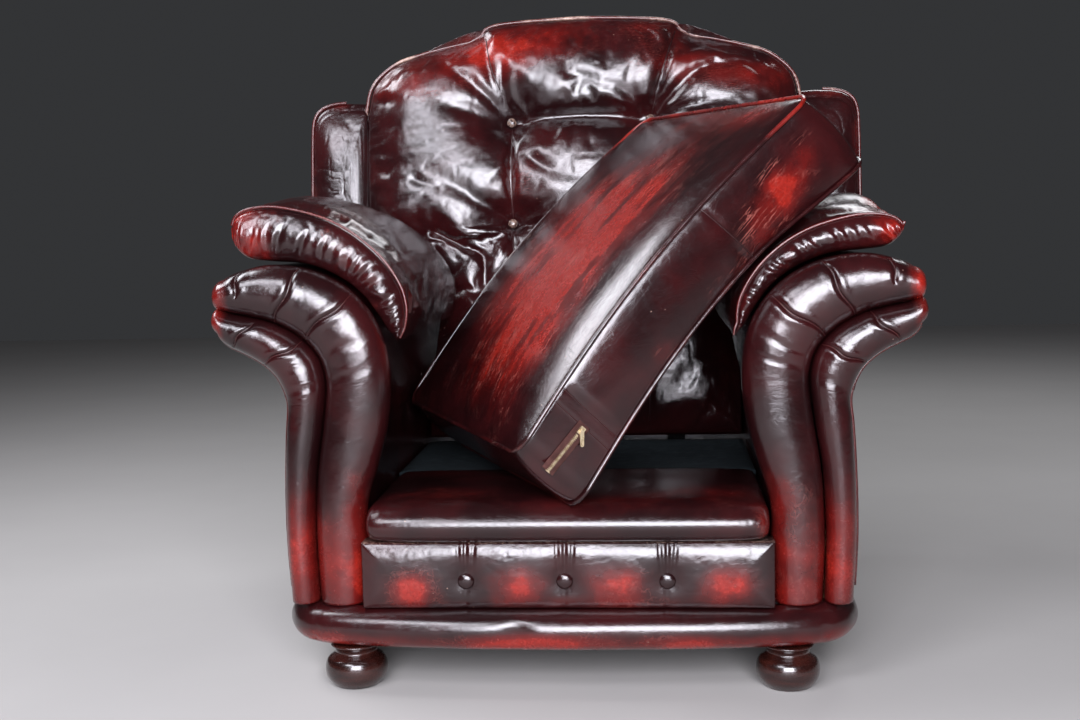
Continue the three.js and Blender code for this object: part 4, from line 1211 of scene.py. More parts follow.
def make_pillows():
    """The gathered pillows on the arms; the cushion presses the right one down."""
    for side, s in SIDES:
        pressed = s > 0
        place, faces = box_skin((104, 26, 15))
        u, t, k = place.T
        t = t ** 1.7
        far = PILLOW_DEEP * t
        end = np.minimum(far, PILLOW_DEEP - far)
        full = 1 - 0.10 * np.exp(-end / (9 * MM)) - 0.25 * np.exp(-(PILLOW_DEEP - far) / (14 * MM))
        upper, lower = pillow_rows(u, far, pressed, full)
        x, z = (lower + (upper - lower) * k[:, None]).T
        y = PILLOW_FRONT + 12 * MM + far * (PILLOW_DEEP - 12 * MM) / PILLOW_DEEP
        front = t == 0
        deep = np.sin(math.pi * np.clip(k, 0, 1)) ** 0.7
        # The front is gathered along its lower seam: folds that fan out and die away upwards.
        lean = u * 0.52 - 0.024 * k
        shift = 3.6 * value_noise(np.stack([lean, k * 0.05, 0 * u], 1), 30 * MM, 80 + s)
        ripple = np.sin(lean / (3.6 * MM) + shift)
        sharp = ripple * (0.75 + 0.6 * value_noise(np.stack([lean, 0 * k, 0 * u], 1), 18 * MM, 82 + s))
        gather = (3.6 * MM * (1 - smooth(k / 0.95)) ** 0.8 + 0.5 * MM) * sharp
        fade = smooth(u / 0.16) * smooth((1 - u) / 0.04)
        y = np.where(front, y - (13 * MM + gather) * deep * fade - 1 * MM, y)
        points = np.stack([s * x, y, z], 1)
        piece = mesh_piece(f"arm_pillow_cover_{side}", placed(points), faces)
        sewn = ((k > 0.98) & (t < 0.03)) | (k < 0.02)
        held = np.where(sewn, 1.0, np.where(front, 0.35, 0.08))
        drape(piece, held, 1.6, 0.02, 12 * MM, frames=14)
        refine(piece)
        p = coordinates(piece.data)
        depth = p[:, 1] - SHIFT_Y - PILLOW_FRONT
        wrinkle(piece, 2.2 * MM, 42 * MM, 84 + s, mask=smooth((depth - 0.02) / 0.05))
        p = coordinates(piece.data)
        x = np.abs(p[:, 0])
        rub = 0.95 * smooth((x - 0.385) / 0.06) * (0.55 + fractal(p, 45 * MM, 86))
        rub += 0.35 * smooth(fractal(p, 80 * MM, 87) * 1.6) * smooth((depth - 0.03) / 0.05)
        rub += 0.3 * smooth(fractal(p, 22 * MM, 88) * 2) * smooth((0.03 - depth) / 0.02)
        dress(piece, finish("hide"), [f"arm_pillow_{side}"], rub=rub)
        u = np.linspace(0, 1, 160)
        upper, _ = pillow_rows(u, np.full(160, 12 * MM), pressed, np.full(160, 0.97))
        line = np.stack([s * upper[:, 0], np.full(160, PILLOW_FRONT + 11 * MM), upper[:, 1]], 1)
        cord = piping(f"arm_pillow_cord_{side}", placed(line[3:]), 2.0 * MM, seed=90 + s)
        dress_cord(cord, 0.55, cord_wear(cord, 0.16, 0.3, 25 * MM, 92), [f"arm_pillow_piping_{side}"])


# ------------------------------------------------------------------ back

# Right half of the back pad's edge, in millimetres: X and the height up it.
PAD_LOW = [(281, -26), (281, 84), (270, 130), (262, 190), (262, 232), (284, 284), (318, 320), (372, 340)]
PAD_SIDE = [(391, 366), (396, 420), (397, 466), (397, 510), (396, 545), (391, 583), (384, 613), (368, 636),
            (334, 661), (290, 675), (250, 685), (203, 694)]
PAD_CREST = [(181, 706), (172, 718), (150, 725), (105, 729), (40, 732), (0, 733)]
BACK_BUTTONS = {"upper": 542 * MM, "lower": 358 * MM}
BUTTON_SPREAD = 125 * MM
BUTTON_SUNK = 12 * MM  # how far before the pad's plane the back buttons sit

# Folds and seams of the back: lines through points (x, height), the depth at their start, the
# share of that depth left at their end, and their width.
BACK_FOLDS = [
    ([(-125, 542), (-60, 549), (0, 552), (60, 549), (125, 542)], 28, 1.0, 13),
    ([(-125, 542), (-126, 450), (-125, 358)], 11, 1.0, 7),
    ([(125, 542), (124, 450), (125, 358)], 11, 1.0, 7),
    ([(-125, 358), (-120, 200), (-116, -20)], 10, 0.5, 8),
    ([(125, 358), (120, 200), (116, -20)], 10, 0.5, 8),
    ([(-125, 358), (0, 350), (125, 358)], 15, 1.0, 13),
    ([(125, 542), (146, 620), (176, 712)], 13, 0.9, 8),
    ([(-125, 542), (-160, 620), (-176, 708)], 12, 0.25, 10),
    ([(-125, 542), (-138, 600), (-140, 668)], 13, 0.0, 8),
    ([(-125, 542), (-170, 590), (-240, 640)], 17, 0.0, 12),
    ([(-125, 542), (-195, 560), (-275, 578)], 11, 0.0, 14),
    ([(-125, 542), (-90, 575), (-70, 610)], 9, 0.0, 10),
    ([(125, 542), (170, 590), (225, 628), (330, 640)], 19, 0.2, 12),
    ([(125, 542), (200, 560), (300, 570)], 12, 0.0, 11),
    ([(125, 542), (80, 590), (-20, 625), (-100, 640)], 12, 0.0, 12),
    ([(-125, 358), (-200, 410), (-285, 460)], 19, 0.1, 13),
    ([(-125, 358), (-165, 410), (-200, 470)], 8, 0.0, 8),
    ([(-125, 358), (-60, 392), (-10, 400)], 19, 0.2, 12),
    ([(-85, 470), (-55, 452), (20, 430)], 9, 0.2, 12),
    ([(-300, 440), (-250, 425), (-190, 415)], 8, 0.0, 10),
    ([(-265, 345), (-215, 318), (-180, 300), (-175, 240)], 17, 0.6, 12),
    ([(-255, 250), (-215, 290), (-190, 310)], 9, 0.3, 10),
    ([(-380, 385), (-330, 360), (-270, 330)], 8, 0.4, 14),
    ([(125, 358), (200, 400), (285, 455)], 12, 0.1, 13),
    ([(125, 358), (190, 330), (255, 280)], 12, 0.2, 12),
    ([(125, 358), (60, 395), (20, 415)], 9, 0.0, 10),
]


def fold_depth(x, h, folds):
    """How deep the folds press into the back at each place."""
    flat = np.stack([x, h], 1)
    total = np.zeros(len(x))
    for line, deep, left, width in folds:
        line = spline(np.array(line) * MM, 14)
        best, share = np.full(len(x), 1e9), np.zeros(len(x))
        for i in range(len(line) - 1):
            d, t = to_segment(flat, line[i], line[i + 1])
            nearer = d < best
            best = np.where(nearer, d, best)
            share = np.where(nearer, (i + t) / (len(line) - 1), share)
        strength = deep * MM * (1 + (left - 1) * share ** 0.8)
        spread = width * MM * (0.75 + 0.5 * share)
        valley = np.exp(-np.abs(best / spread) ** 1.25)
        total = np.maximum(total, strength * valley) + 0.22 * np.minimum(total, strength * valley)
    return total


# Seams that show as a cord: their points, from button to button or from a button to the edge.
BACK_SEAMS = (("upper_left", [(-125, 530), (-126, 450), (-125, 370)]),
              ("upper_right", [(125, 530), (124, 450), (125, 370)]),
              ("lower_left", [(-125, 346), (-120, 200), (-116, 0)]),
              ("lower_right", [(125, 346), (120, 200), (116, 0)]),
              ("crest_right", [(128, 554), (146, 620), (172, 704)]),
              ("crest_left", [(-145, 600), (-160, 640), (-172, 700)]))

BACK_SPOTS = [((-0.14, 0.30, 0.955), (0.11, 0.2, 0.040), 1.3), ((0.02, 0.30, 0.985), (0.20, 0.2, 0.030), 0.7),
              ((0.19, 0.30, 0.935), (0.10, 0.2, 0.045), 0.85), ((-0.29, 0.30, 0.90), (0.10, 0.2, 0.040), 0.8),
              ((-0.12, 0.26, 0.72), (0.06, 0.2, 0.05), 0.35), ((0.32, 0.30, 0.90), (0.09, 0.2, 0.04), 0.6),
              ((-0.37, 0.30, 0.76), (0.02, 0.2, 0.10), 0.35), ((0.37, 0.30, 0.76), (0.02, 0.2, 0.10), 0.35)]


def pad_outline():
    """The pad's bottom, top, left and right edges as flat lines."""
    low, high = np.array(PAD_LOW) * MM, np.array(PAD_LOW[-1:] + PAD_SIDE) * MM
    right = even(np.vstack([even(low, 60), spline(high, 120)[1:]]), 241)
    half = spline(np.array(PAD_SIDE[-1:] + PAD_CREST) * MM, 80)
    top = np.vstack([half * [-1, 1], half[::-1][1:]])
    bottom = np.array([(-PAD_LOW[0][0], PAD_LOW[0][1]), PAD_LOW[0]]) * MM
    return even(bottom, 161), even(top, 161), right * [-1, 1], right


def pad_buttons():
    return [(s * BUTTON_SPREAD, height) for s in (-1, 1) for height in BACK_BUTTONS.values()]


def make_back_pad():
    """The buttoned back: folds and pleats drawn in, then swollen and creased."""
    sizes = bpy.context.scene.club_chair_sizes
    bottom, top, left, right = pad_outline()
    n = sizes.mesh_fineness + 20
    place, faces = without_rear(*box_skin((n, n, 8)))
    u, v, k = place.T
    flat = coons(u, v, bottom, top, left, right)
    x, h = flat.T
    ring = np.vstack([bottom[:-1], right[:-1], top[::-1][:-1], left[::-1][:-1]])
    edge = edge_distance(flat, ring[::3])
    rise = sizes.back_puff * (1 - np.exp(-(edge / (38 * MM)) ** 1.1))
    rise = rise + 5 * MM * np.exp(-((h - 0.66) / 0.07) ** 2) * (1 - np.exp(-edge / (30 * MM)))
    pull = np.zeros(len(x))
    for button_x, button_h in pad_buttons():
        dx, dh = x - button_x, h - button_h
        r = np.hypot(dx, dh)
        pull = np.maximum(pull, np.exp(-(r / (40 * MM)) ** 1.25))
        turn = np.arctan2(dh, dx)
        pleat = np.cos(11 * turn + 3 * np.sin(2 * turn + np.sign(button_x) + button_h * 9))
        rise = rise + 1.9 * MM * pleat * smooth(r / (22 * MM)) * np.exp(-(r / (62 * MM)) ** 2)
    folds = fold_depth(x, h, BACK_FOLDS)
    rise = np.maximum(rise * (1 - pull) - folds * (1 - np.exp(-edge / (20 * MM))) * (1 - 0.7 * pull), -2 * MM)
    front = k == 0
    face = on_pad(np.stack([x, 0 * x, h], 1))
    reach = pad_rear_y(face[:, 2]) - face[:, 1]
    reach /= math.cos(PAD_LEAN) + math.sin(PAD_LEAN) * math.tan(REAR_LEAN)
    depth = np.where(front, -rise, k * np.maximum(reach, 20 * MM))
    away = flat - [0, 0.33]
    away /= np.maximum(np.linalg.norm(away, axis=1), 1e-6)[:, None]
    swell = 0.8 * MM * np.sin(math.pi * k) * (h > 0.36)
    flat = flat + away * swell[:, None]
    points = on_pad(np.stack([flat[:, 0], depth, flat[:, 1]], 1))
    piece = mesh_piece("back_pad_cover", points, faces)
    held = np.where(front & (edge >= 4 * MM), 0.9 * bell(edge, 17 * MM), 1.0)
    for button_x, button_h in pad_buttons():
        held = np.where(front & (np.hypot(x - button_x, h - button_h) < 11 * MM), 1.0, held)
    seam = fold_depth(x, h, [fold for fold in BACK_FOLDS if fold[2] >= 0.5]) > 8.5 * MM
    held = np.where(front & seam & (held < 0.5), 0.5, held)
    drape(piece, held, 3.0, sizes.leather_slack, 13 * MM, frames=20)
    refine(piece)
    close_rear(piece)
    p = coordinates(piece.data)
    behind_face = p[:, 1] - SHIFT_Y - PAD_FOOT_Y - PAD_SLOPE * (p[:, 2] - PAD_FOOT_Z)
    forward = smooth((0.03 - behind_face) / 0.03)
    wrinkle(piece, 1.5 * MM, 30 * MM, 101, mask=forward)
    wrinkle(piece, 0.5 * MM, 11 * MM, 104, mask=forward * smooth(0.5 + 1.4 * fractal(p, 120 * MM, 105)))
    p = coordinates(piece.data)
    rub = patches(p, BACK_SPOTS) * (0.75 + 0.9 * fractal(p, 60 * MM, 106))
    dress(piece, finish("hide_back"), ["back_pad"], rub=rub)
    into_pad = on_pad([0, 1, 0]) - on_pad([0, 0, 0])
    for name, path in BACK_SEAMS:
        flat_line = spline(np.array(path) * MM, 60)
        line = on_pad(np.stack([flat_line[:, 0], np.full(60, -60 * MM), flat_line[:, 1]], 1))
        sewn_seam(f"back_seam_{name}", piece, line, into_pad, 1.0 * MM, 0.1)
    make_pad_cord(np.vstack([right[60:], top[::-1][1:-1], left[::-1][:-60]]))
    make_back_buttons()


def make_pad_cord(edge):
    """The piping around the back pad, from its lower right up over the crest."""
    line = even(edge, 420)
    outward = np.gradient(line, axis=0)[:, ::-1] * [-1, 1]
    outward /= np.linalg.norm(outward, axis=1)[:, None]
    outward *= np.sign(np.sum(outward * (line - [0, 0.4]), axis=1))[:, None]
    line = line + 2.4 * MM * outward
    cord_points = on_pad(np.stack([line[:, 0], np.full(len(line), 0.6 * MM), line[:, 1]], 1))
    cord = piping("back_pad_cord", cord_points, 3.0 * MM, seed=107)
    dress_cord(cord, 0.55, cord_wear(cord, 0.42, 0.5, 40 * MM, 108), ["back_pad_piping"])


def make_back_buttons():
    face = np.array([0, -math.cos(PAD_LEAN), math.sin(PAD_LEAN)])
    profile = mound(np.array(BACK_BUTTON_PROFILE) * MM, 22)
    for level, height in BACK_BUTTONS.items():
        for side, s in SIDES:
            centre = on_pad([s * BUTTON_SPREAD, -BUTTON_SUNK, height])
            button = turned(f"back_button_cover_{level}_{side}", profile, centre, face)
            replaced = [f"back_button_{level}_{side}"]
            # pale=0.5 paints a highlight: the pale hide colour stands for the glint on each button's dome.
            dress(button, finish("hide_button"), replaced, rub=0.1, pale=0.5)


# Edge of a wing, in millimetres: X and the height up the back.
WING = [(386, 296), (462, 296), (486, 318), (494, 352), (496, 420), (496, 520), (494, 556), (485, 576),
        (464, 588), (430, 592), (386, 590)]
WING_CENTRE = np.array([430, 445]) * MM
WING_BOTTOM = 598.5 * MM  # the wings stand on the arms


def make_wings():
    """The narrow wings beside the back, padded in front and round at their edge."""
    outline = spline(np.array(WING) * MM, 92)
    outer = outline - WING_CENTRE
    rings = [(share, -16 * MM * (1 - share ** 2.6)) for share in np.linspace(0.03, 0.88, 22)]
    for turn in np.linspace(0, 0.5 * math.pi, 9):
        rings.append((0.88 + 0.12 * math.sin(turn), 12 * MM * (1 - math.cos(turn)) - 0.5 * MM))
    for side, s in SIDES:
        points = []
        for share, deep in rings:
            flat = WING_CENTRE + outer * share
            points.append(on_pad(np.stack([s * flat[:, 0], np.full(len(flat), deep), flat[:, 1]], 1)))
        front = points[-1]
        behind = pad_rear_y(front[:, 2]) - front[:, 1]
        for share in np.linspace(0, 1, 26)[1:]:
            step = front.copy()
            step[:, 1] += share * behind
            step[:, 0] *= 1 - 0.010 * math.sin(math.pi * share)
            points.append(step)
        points = np.array(points)
        points[..., 2] = np.maximum(points[..., 2], WING_BOTTOM)
        piece = refine(tube_piece(f"wing_cover_{side}", points))
        wrinkle(piece, 1.3 * MM, 45 * MM, 110 + s)
        p = coordinates(piece.data)
        x = np.abs(p[:, 0])
        rub = 0.65 * smooth((x - 0.470) / 0.03) * (0.6 + fractal(p, 60 * MM, 112))
        rub += 0.55 * smooth((p[:, 2] - 0.845) / 0.03) * (0.6 + fractal(p, 50 * MM, 113))
        dress(piece, finish("hide_back"), [f"wing_{side}"], rub=rub)
        edge = outline[5:-9]
        line = on_pad(np.stack([s * (edge[:, 0] + 0.5 * MM), np.full(len(edge), 3.4 * MM), edge[:, 1]], 1))
        line = line[line[:, 2] > WING_BOTTOM + 1.5 * MM]
        cord = piping(f"wing_cord_{side}", even(line, 150), 2.7 * MM, seed=115 + s)
        dress_cord(cord, 0.55, cord_wear(cord, 0.25, 0.5, 30 * MM, 116))


# Right half of the outside back's edge, in millimetres: X and the height up it.
REAR_HALF = [(0, 0), (392, 0), (396, 60), (396, 342), (404, 373), (425, 394), (456, 412), (480, 428),
             (488, 454), (488, 492), (482, 520), (486, 548), (492, 575), (494, 720), (491, 762), (482, 780),
             (462, 790), (430, 795), (395, 795), (390, 806), (382, 820), (367, 839), (334, 864), (290, 878),
             (250, 887), (203, 896), (181, 908), (172, 920), (150, 927), (105, 932), (0, 935)]


REAR_CENTRE = np.array([0, 520]) * MM


def make_outside_back():
    """The flat leather back of the chair, with a cord around its edge."""
    outline = even(np.array(mirrored(REAR_HALF) + [(0, 0)]) * MM, 300)[:-1]
    outer = outline - REAR_CENTRE
    rings = [(share, 0.2 * MM) for share in np.linspace(0.03, 0.985, 6)]
    rings += [(1.0, 1.5 * MM), (1.0, 4.5 * MM)]
    rings += [(0.995 - 0.965 * t, 5 * MM + 5 * MM * (1 - math.exp(-t / 0.08))) for t in np.linspace(0, 1, 70)]
    points = []
    for share, deep in rings:
        flat = REAR_CENTRE + outer * share
        points.append(on_rear(np.stack([flat[:, 0], np.full(len(flat), deep), flat[:, 1]], 1)))
    piece = tube_piece("outside_back_cover", np.array(points))
    p = coordinates(piece.data)
    behind = normals(piece.data)[:, 1] > 0.5
    sway = 2.2 * MM * fractal(p, 260 * MM, 120)
    move_points(piece.data, p + np.outer(sway * behind, [0, 1, 0]))
    wrinkle(piece, 1.0 * MM, 70 * MM, 121, mask=behind * 1.0)
    p = coordinates(piece.data)
    rub = 0.55 * smooth((0.16 - p[:, 2]) / 0.08) * (0.6 + fractal(p, 70 * MM, 122))
    rub += 0.5 * smooth((p[:, 2] - 0.93) / 0.06) * (0.6 + fractal(p, 60 * MM, 123))
    dress(piece, finish("hide_back"), ["outside_back"], rub=rub)
    line = outline[int(0.06 * len(outline)):int(0.94 * len(outline))] * 0.999
    cord_points = on_rear(np.stack([line[:, 0], np.full(len(line), 4.6 * MM), line[:, 1]], 1))
    cord = piping("outside_back_cord", even(cord_points, 520), 3.4 * MM, seed=125)
    dress_cord(cord, 0.5, cord_wear(cord, 0.12, 0.35, 40 * MM, 126))


# ------------------------------------------------------------------ seat cushion

# Distances in the cushion's frame: a along it, w across it, z out of its top face.
ZIP_LOW, ZIP_HIGH, ZIP_DROP, ZIP_WIDE = 8 * MM, 88 * MM, 46 * MM, 20 * MM
BORDER_SEAM = 410 * MM
BORDER_BAND = (84 * MM, 104 * MM)  # the band of leather laid over the border beside the zip

# Rubbed spots in millimetres. Over the top face: the middle and reach along and across, and the
# strength. On the near border: the middle and reach along it and down from its upper edge.
TOP_SPOTS = [((330, 150), (150, 80), 1.0), ((220, 215), (130, 90), 0.95), ((430, 240), (140, 70), 0.75),
             ((250, 330), (170, 60), 0.55), ((600, 60), (50, 60), 1.0), ((615, 250), (40, 220), 0.6),
             ((360, 400), (180, 50), 0.35), ((150, 120), (90, 60), 0.5), ((90, 200), (80, 160), 0.22),
             ((560, 500), (90, 40), 0.5), ((310, 220), (190, 150), 0.5)]
BORDER_SPOTS = [((508, -48), (66, 26), 1.2), ((470, -78), (60, 18), 0.35), ((300, -70), (120, 20), 0.2),
                ((200, -60), (50, 26), 0.16), ((395, -84), (16, 10), 0.5)]


def along_arch(a):
    """From 0 at the cushion's ends to 1 in the middle of its length."""
    return np.sin(math.pi * np.clip(a / CUSHION_LONG, 0, 1))


def arch(a):
    return CUSHION_ARCH * along_arch(a)


def border_thickness(a):
    return CUSHION_THICK - 5 * MM * along_arch(a) + 12 * MM * smooth((a - 400 * MM) / (210 * MM))


def rounded_plan(a, w):
    """Draws the corners of the cushion's plan in to their radius."""
    x, y = a - CUSHION_LONG / 2, w - CUSHION_WIDE / 2
    cx, cy = CUSHION_LONG / 2 - CUSHION_ROUND, CUSHION_WIDE / 2 - CUSHION_ROUND
    qx, qy = np.abs(x) - cx, np.abs(y) - cy
    corner = (qx > 0) & (qy > 0)
    size = np.hypot(qx, qy)
    factor = np.where(corner, np.maximum(qx, qy) / np.maximum(size, 1e-9), 1.0)
    nx = np.where(corner, cx + qx * factor, np.abs(x))
    ny = np.where(corner, cy + qy * factor, np.abs(y))
    return CUSHION_LONG / 2 + np.sign(x) * nx, CUSHION_WIDE / 2 + np.sign(y) * ny


def make_cushion():
    """The loose seat cushion: crowned faces between piped edges, around a sewn border."""
    sizes = bpy.context.scene.club_chair_sizes
    n = sizes.mesh_fineness
    place, faces = box_skin((n, int(n * 0.86), 14))
    u, v, k = place.T
    a, w = rounded_plan(u * CUSHION_LONG, v * CUSHION_WIDE)
    dome = (1 - np.abs(2 * u - 1) ** 3.4) * (1 - np.abs(2 * v - 1) ** 3.0)
    edge = np.minimum(np.minimum(a, CUSHION_LONG - a), np.minimum(w, CUSHION_WIDE - w))
    shoulder = 1 - np.exp(-edge / (30 * MM))
    top = arch(a) + sizes.cushion_crown * (0.62 * shoulder + 0.65 * dome)
    bottom = arch(a) - border_thickness(a) - 0.55 * sizes.cushion_crown * (0.5 * shoulder + 0.5 * dome)
    z = np.where(k == 1, top, np.where(k == 0, bottom, arch(a) - border_thickness(a) * (1 - k)))
    border = (k > 0) & (k < 1)
    swell = 7.5 * MM * np.sin(math.pi * k) ** 0.7 * border
    at_zip = (v == 0) * smooth((118 * MM - a) / (14 * MM))
    swell = swell * (1 - at_zip)
    groove = 2.0 * MM * bell(a - BORDER_SEAM - 10 * MM * (k - 0.5), 2.8 * MM)
    near = border & (v == 0)
    outward = np.where(near, swell - groove, swell)
    a = a + np.where(border & (u == 1), outward, 0) - np.where(border & (u == 0), outward, 0)
    w = w + np.where(border & (v == 1) & (u > 0) & (u < 1), outward, 0) - np.where(near, outward, 0)
    points = np.stack([a, w, z], 1)
    piece = mesh_piece("seat_cushion_cover", on_cushion(points), faces)
    held = np.where(border & (at_zip > 0.02), 1.0, 0.0)
    held = np.where((edge < 1 * MM) & ((k == 1) | (k == 0)), 1.0, held)
    held = np.where(border & (held == 0), 0.6, held)
    held = np.where((k == 1) & (held == 0), 0.75 * np.exp(-v * CUSHION_WIDE / (60 * MM)), held)
    held = np.where((k == 0) & (held == 0), 0.4, held)
    drape(piece, held, 1.8, 0.0, 8 * MM, frames=12)
    refine(piece)
    local = cushion_places(piece)
    on_top = smooth((local[:, 2] - arch(local[:, 0]) - 3 * MM) / (6 * MM))
    inner = smooth((local[:, 1] - 45 * MM) / (40 * MM))
    wrinkle(piece, 0.8 * MM, 40 * MM, 130, mask=on_top * (0.25 + 0.75 * inner))
    wrinkle(piece, 0.3 * MM, 30 * MM, 131, mask=(1 - on_top) * smooth((local[:, 0] - 125 * MM) / (30 * MM)))
    local = cushion_places(piece)
    a, w, _ = local.T
    near_face = smooth((6 * MM - w) / (8 * MM)) * (1 - on_top)
    band = 1.1 * MM * smooth((a - BORDER_BAND[0]) / (1.5 * MM)) * smooth((BORDER_BAND[1] - a) / (1.5 * MM))
    move_points(piece.data, coordinates(piece.data) - np.outer(band * near_face, CUSHION_ACROSS))
    rub = top_wear(local) * on_top + border_wear(local) * (1 - on_top)
    paint_places(piece, local)
    dress(piece, finish("hide_cushion"), ["seat_cushion"], rub=rub)
    for i, (top_a, slant) in enumerate(((BORDER_SEAM, 6 * MM), (BORDER_BAND[0], 0), (BORDER_BAND[1], 0))):
        a = np.linspace(top_a, top_a + slant, 30)
        z = arch(a) - np.linspace(0.03, 0.97, 30) * border_thickness(a)
        line = on_cushion(np.stack([a, np.full(30, -4 * MM), z], 1))
        sewn_seam(f"cushion_border_seam_{i + 1}", piece, line, CUSHION_ACROSS, 0.8 * MM, 0.15)
    make_cushion_piping()
    make_zip()


def cushion_places(piece):
    from_corner = coordinates(piece.data) - placed(CUSHION_CORNER)
    return np.stack([from_corner @ CUSHION_ALONG, from_corner @ CUSHION_ACROSS, from_corner @ CUSHION_UP], 1)


def top_wear(local):
    """How rubbed the top face is, in streaks drawn out along the cushion."""
    flat = local * [1, 1, 0]
    cloud = 0.45 * fractal(flat * [0.28, 1, 1], 30 * MM, 140) + 0.4 * fractal(flat, 80 * MM, 141)
    cloud += 0.28 * fractal(flat * [0.14, 1, 1], 9 * MM, 144)
    inside = smooth((local[:, 1] - 22 * MM) / (60 * MM))
    return patches(local[:, :2] / MM, TOP_SPOTS) * (0.72 + 1.15 * cloud) * (0.25 + 0.75 * inside)


def border_wear(local):
    """How rubbed the border is: red spots on the near side, faint clouds on the others."""
    w = local[:, 1]
    near = patches(local[:, ::2] / MM, BORDER_SPOTS)
    cloud = fractal(local, 34 * MM, 142)
    others = 0.5 * smooth(0.2 + fractal(local, 90 * MM, 143)) * smooth((w - 30 * MM) / (30 * MM))
    return (near * smooth((25 * MM - w) / (25 * MM)) + others) * (0.8 + 0.8 * cloud)


def around_plan(count):
    """Places around the edge of a square from 0 to 1."""
    line = []
    for i in range(count):
        side, share = divmod(4 * i / count, 1)
        line.append([(share, 0), (1, share), (1 - share, 1), (0, 1 - share)][int(side)])
    return np.array(line).T


def make_cushion_piping():
    u, v = around_plan(700)
    for name, level in (("upper", 1), ("lower", 0)):
        a, w = rounded_plan(u * CUSHION_LONG, v * CUSHION_WIDE)
        z = arch(a) - (1 - level) * border_thickness(a) + (0.8 if level else -0.8) * MM
        out_a = np.sign(a - CUSHION_LONG / 2) * (np.abs(2 * u - 1) > 0.999)
        out_w = np.sign(w - CUSHION_WIDE / 2) * (np.abs(2 * v - 1) > 0.999)
        a, w = a + 1.2 * MM * out_a, w + 1.2 * MM * out_w
        points = even(np.stack([a, w, z], 1), 640, closed=True)
        cord = piping(f"cushion_cord_{name}", on_cushion(points), 3.1 * MM, closed=True, seed=150 + level)
        local = cushion_places(cord)
        far_end = smooth((local[:, 0] - 520 * MM) / (60 * MM))
        red = 0.12 + 0.8 * far_end * level + 0.5 * fractal(local, 60 * MM, 152)
        worn = (0.10 + 0.35 * fractal(local, 30 * MM, 153)) * level
        dress_cord(cord, red, worn, [f"cushion_piping_{name}"])


def small_blocks(name, blocks):
    """Several small blocks, each from its low and high corner in the cushion's frame, as one piece."""
    points, faces = [], []
    for low, high in blocks:
        place, quads = box_skin((1, 1, 1))
        faces += [[q + len(points) * 8 for q in quad] for quad in quads]
        points.append(np.asarray(low) + place * (np.asarray(high) - np.asarray(low)))
    piece = mesh_piece(name, on_cushion(np.vstack(points)), faces)
    piece.data.shade_flat()
    return piece


ZIP_FACE = -0.4 * MM  # the tape lies this far before the flat border
TOOTH_PITCH, TOOTH_WIDE, TOOTH_TALL = 1.35 * MM, 0.95 * MM, 1.9 * MM
TEETH_END = 71 * MM


def make_zip():
    """The zip's woven tape, and its brass teeth with their stop."""
    place, faces = box_skin((60, 16, 1))
    u, v, k = place.T
    a = ZIP_LOW + u * (ZIP_HIGH - ZIP_LOW)
    z = -ZIP_DROP + (v - 0.5) * ZIP_WIDE
    thick = 1.2 * MM + 0.25 * MM * value_noise(np.stack([a, z, 0 * a], 1), 6 * MM, 160)
    tape = mesh_piece("zip_tape_weave", on_cushion(np.stack([a, ZIP_FACE - k * thick, z], 1)), faces)
    dress(tape, finish("tape"), ["zip_tape"])
    stop = ((ZIP_LOW - 0.5 * MM, ZIP_FACE - 3.2 * MM, -ZIP_DROP - 3.6 * MM),
            (ZIP_LOW + 1 * MM, ZIP_FACE - 0.8 * MM, -ZIP_DROP + 3.6 * MM))
    teeth = []
    for i in range(int((TEETH_END - ZIP_LOW) / TOOTH_PITCH)):
        start = ZIP_LOW + 1 * MM + i * TOOTH_PITCH
        middle = -ZIP_DROP + (0.7 * MM if i % 2 else -0.7 * MM)
        teeth.append(((start, ZIP_FACE - 3.0 * MM, middle - TOOTH_TALL),
                      (start + TOOTH_WIDE, ZIP_FACE - 1.0 * MM, middle + TOOTH_TALL)))
    teeth.append(stop)
    dress(small_blocks("zip_teeth", teeth), finish("brass"))


# ------------------------------------------------------------------ the frame inside, stage and camera

# The frame's own pieces that show: brass and steel, the black cover under the seat, and the rails and back
# stile in the same near black cloth as painted shade,
# # so that they read as shadow where they show through gaps in the leather; the other frame pieces are bare
# beech.
FRAME_FINISHES = {"zip_slider": "brass", "zip_pull": "brass", "seat_spring": "steel", "dust_cover": "dust_and_shade",
                  "rail_front": "dust_and_shade", "rail_rear": "dust_and_shade", "back_stile": "dust_and_shade"}


def make_frame_finishes():
    for name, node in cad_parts.items():
        if node.hide_render:
            continue
        look = next((look for start, look in FRAME_FINISHES.items() if name.startswith(start)), "beech")
        for slot in node.material_slots:
            slot.material = finish(look)
        if not node.material_slots:
            node.data.materials.append(finish(look))


CAMERA_PLACE = Vector((0.120, -2.221 + SHIFT_Y, 0.640))
CAMERA_TURN = (4.7, 5.62, 1.3)  # heading to the left, tilt down and roll, in degrees
CAMERA_LENS, CAMERA_SENSOR = 45.2, 36

FLOOR_HALF = 6
FLOOR_COLOUR = (0.36, 0.35, 0.335)
WORLD_COLOUR, WORLD_STRENGTH = (0.60, 0.62, 0.66, 1), 0.055

# Lights: name, place, what each is aimed at, its width and height, power and tint.
LIGHTS = [("front_box", (0.20, -3.1, 1.2), (0.1, 0, 0.5), (1.9, 1.5), 230, (0.92, 0.91, 1.0)),
          ("window", (-1.2, -2.4, 2.3), (0, 0, 0.7), (1.2, 0.9), 55, (0.92, 0.91, 1.0)),
          ("side_box", (-1.7, 0.1, 2.3), (0, -0.2, 0.6), (1.2, 0.9), 48, (0.92, 0.93, 1.0)),
          ("rear_box", (0.9, 2.5, 3.0), (0, 0.3, 0.4), (2.0, 1.2), 45, (0.95, 0.96, 1.0))]


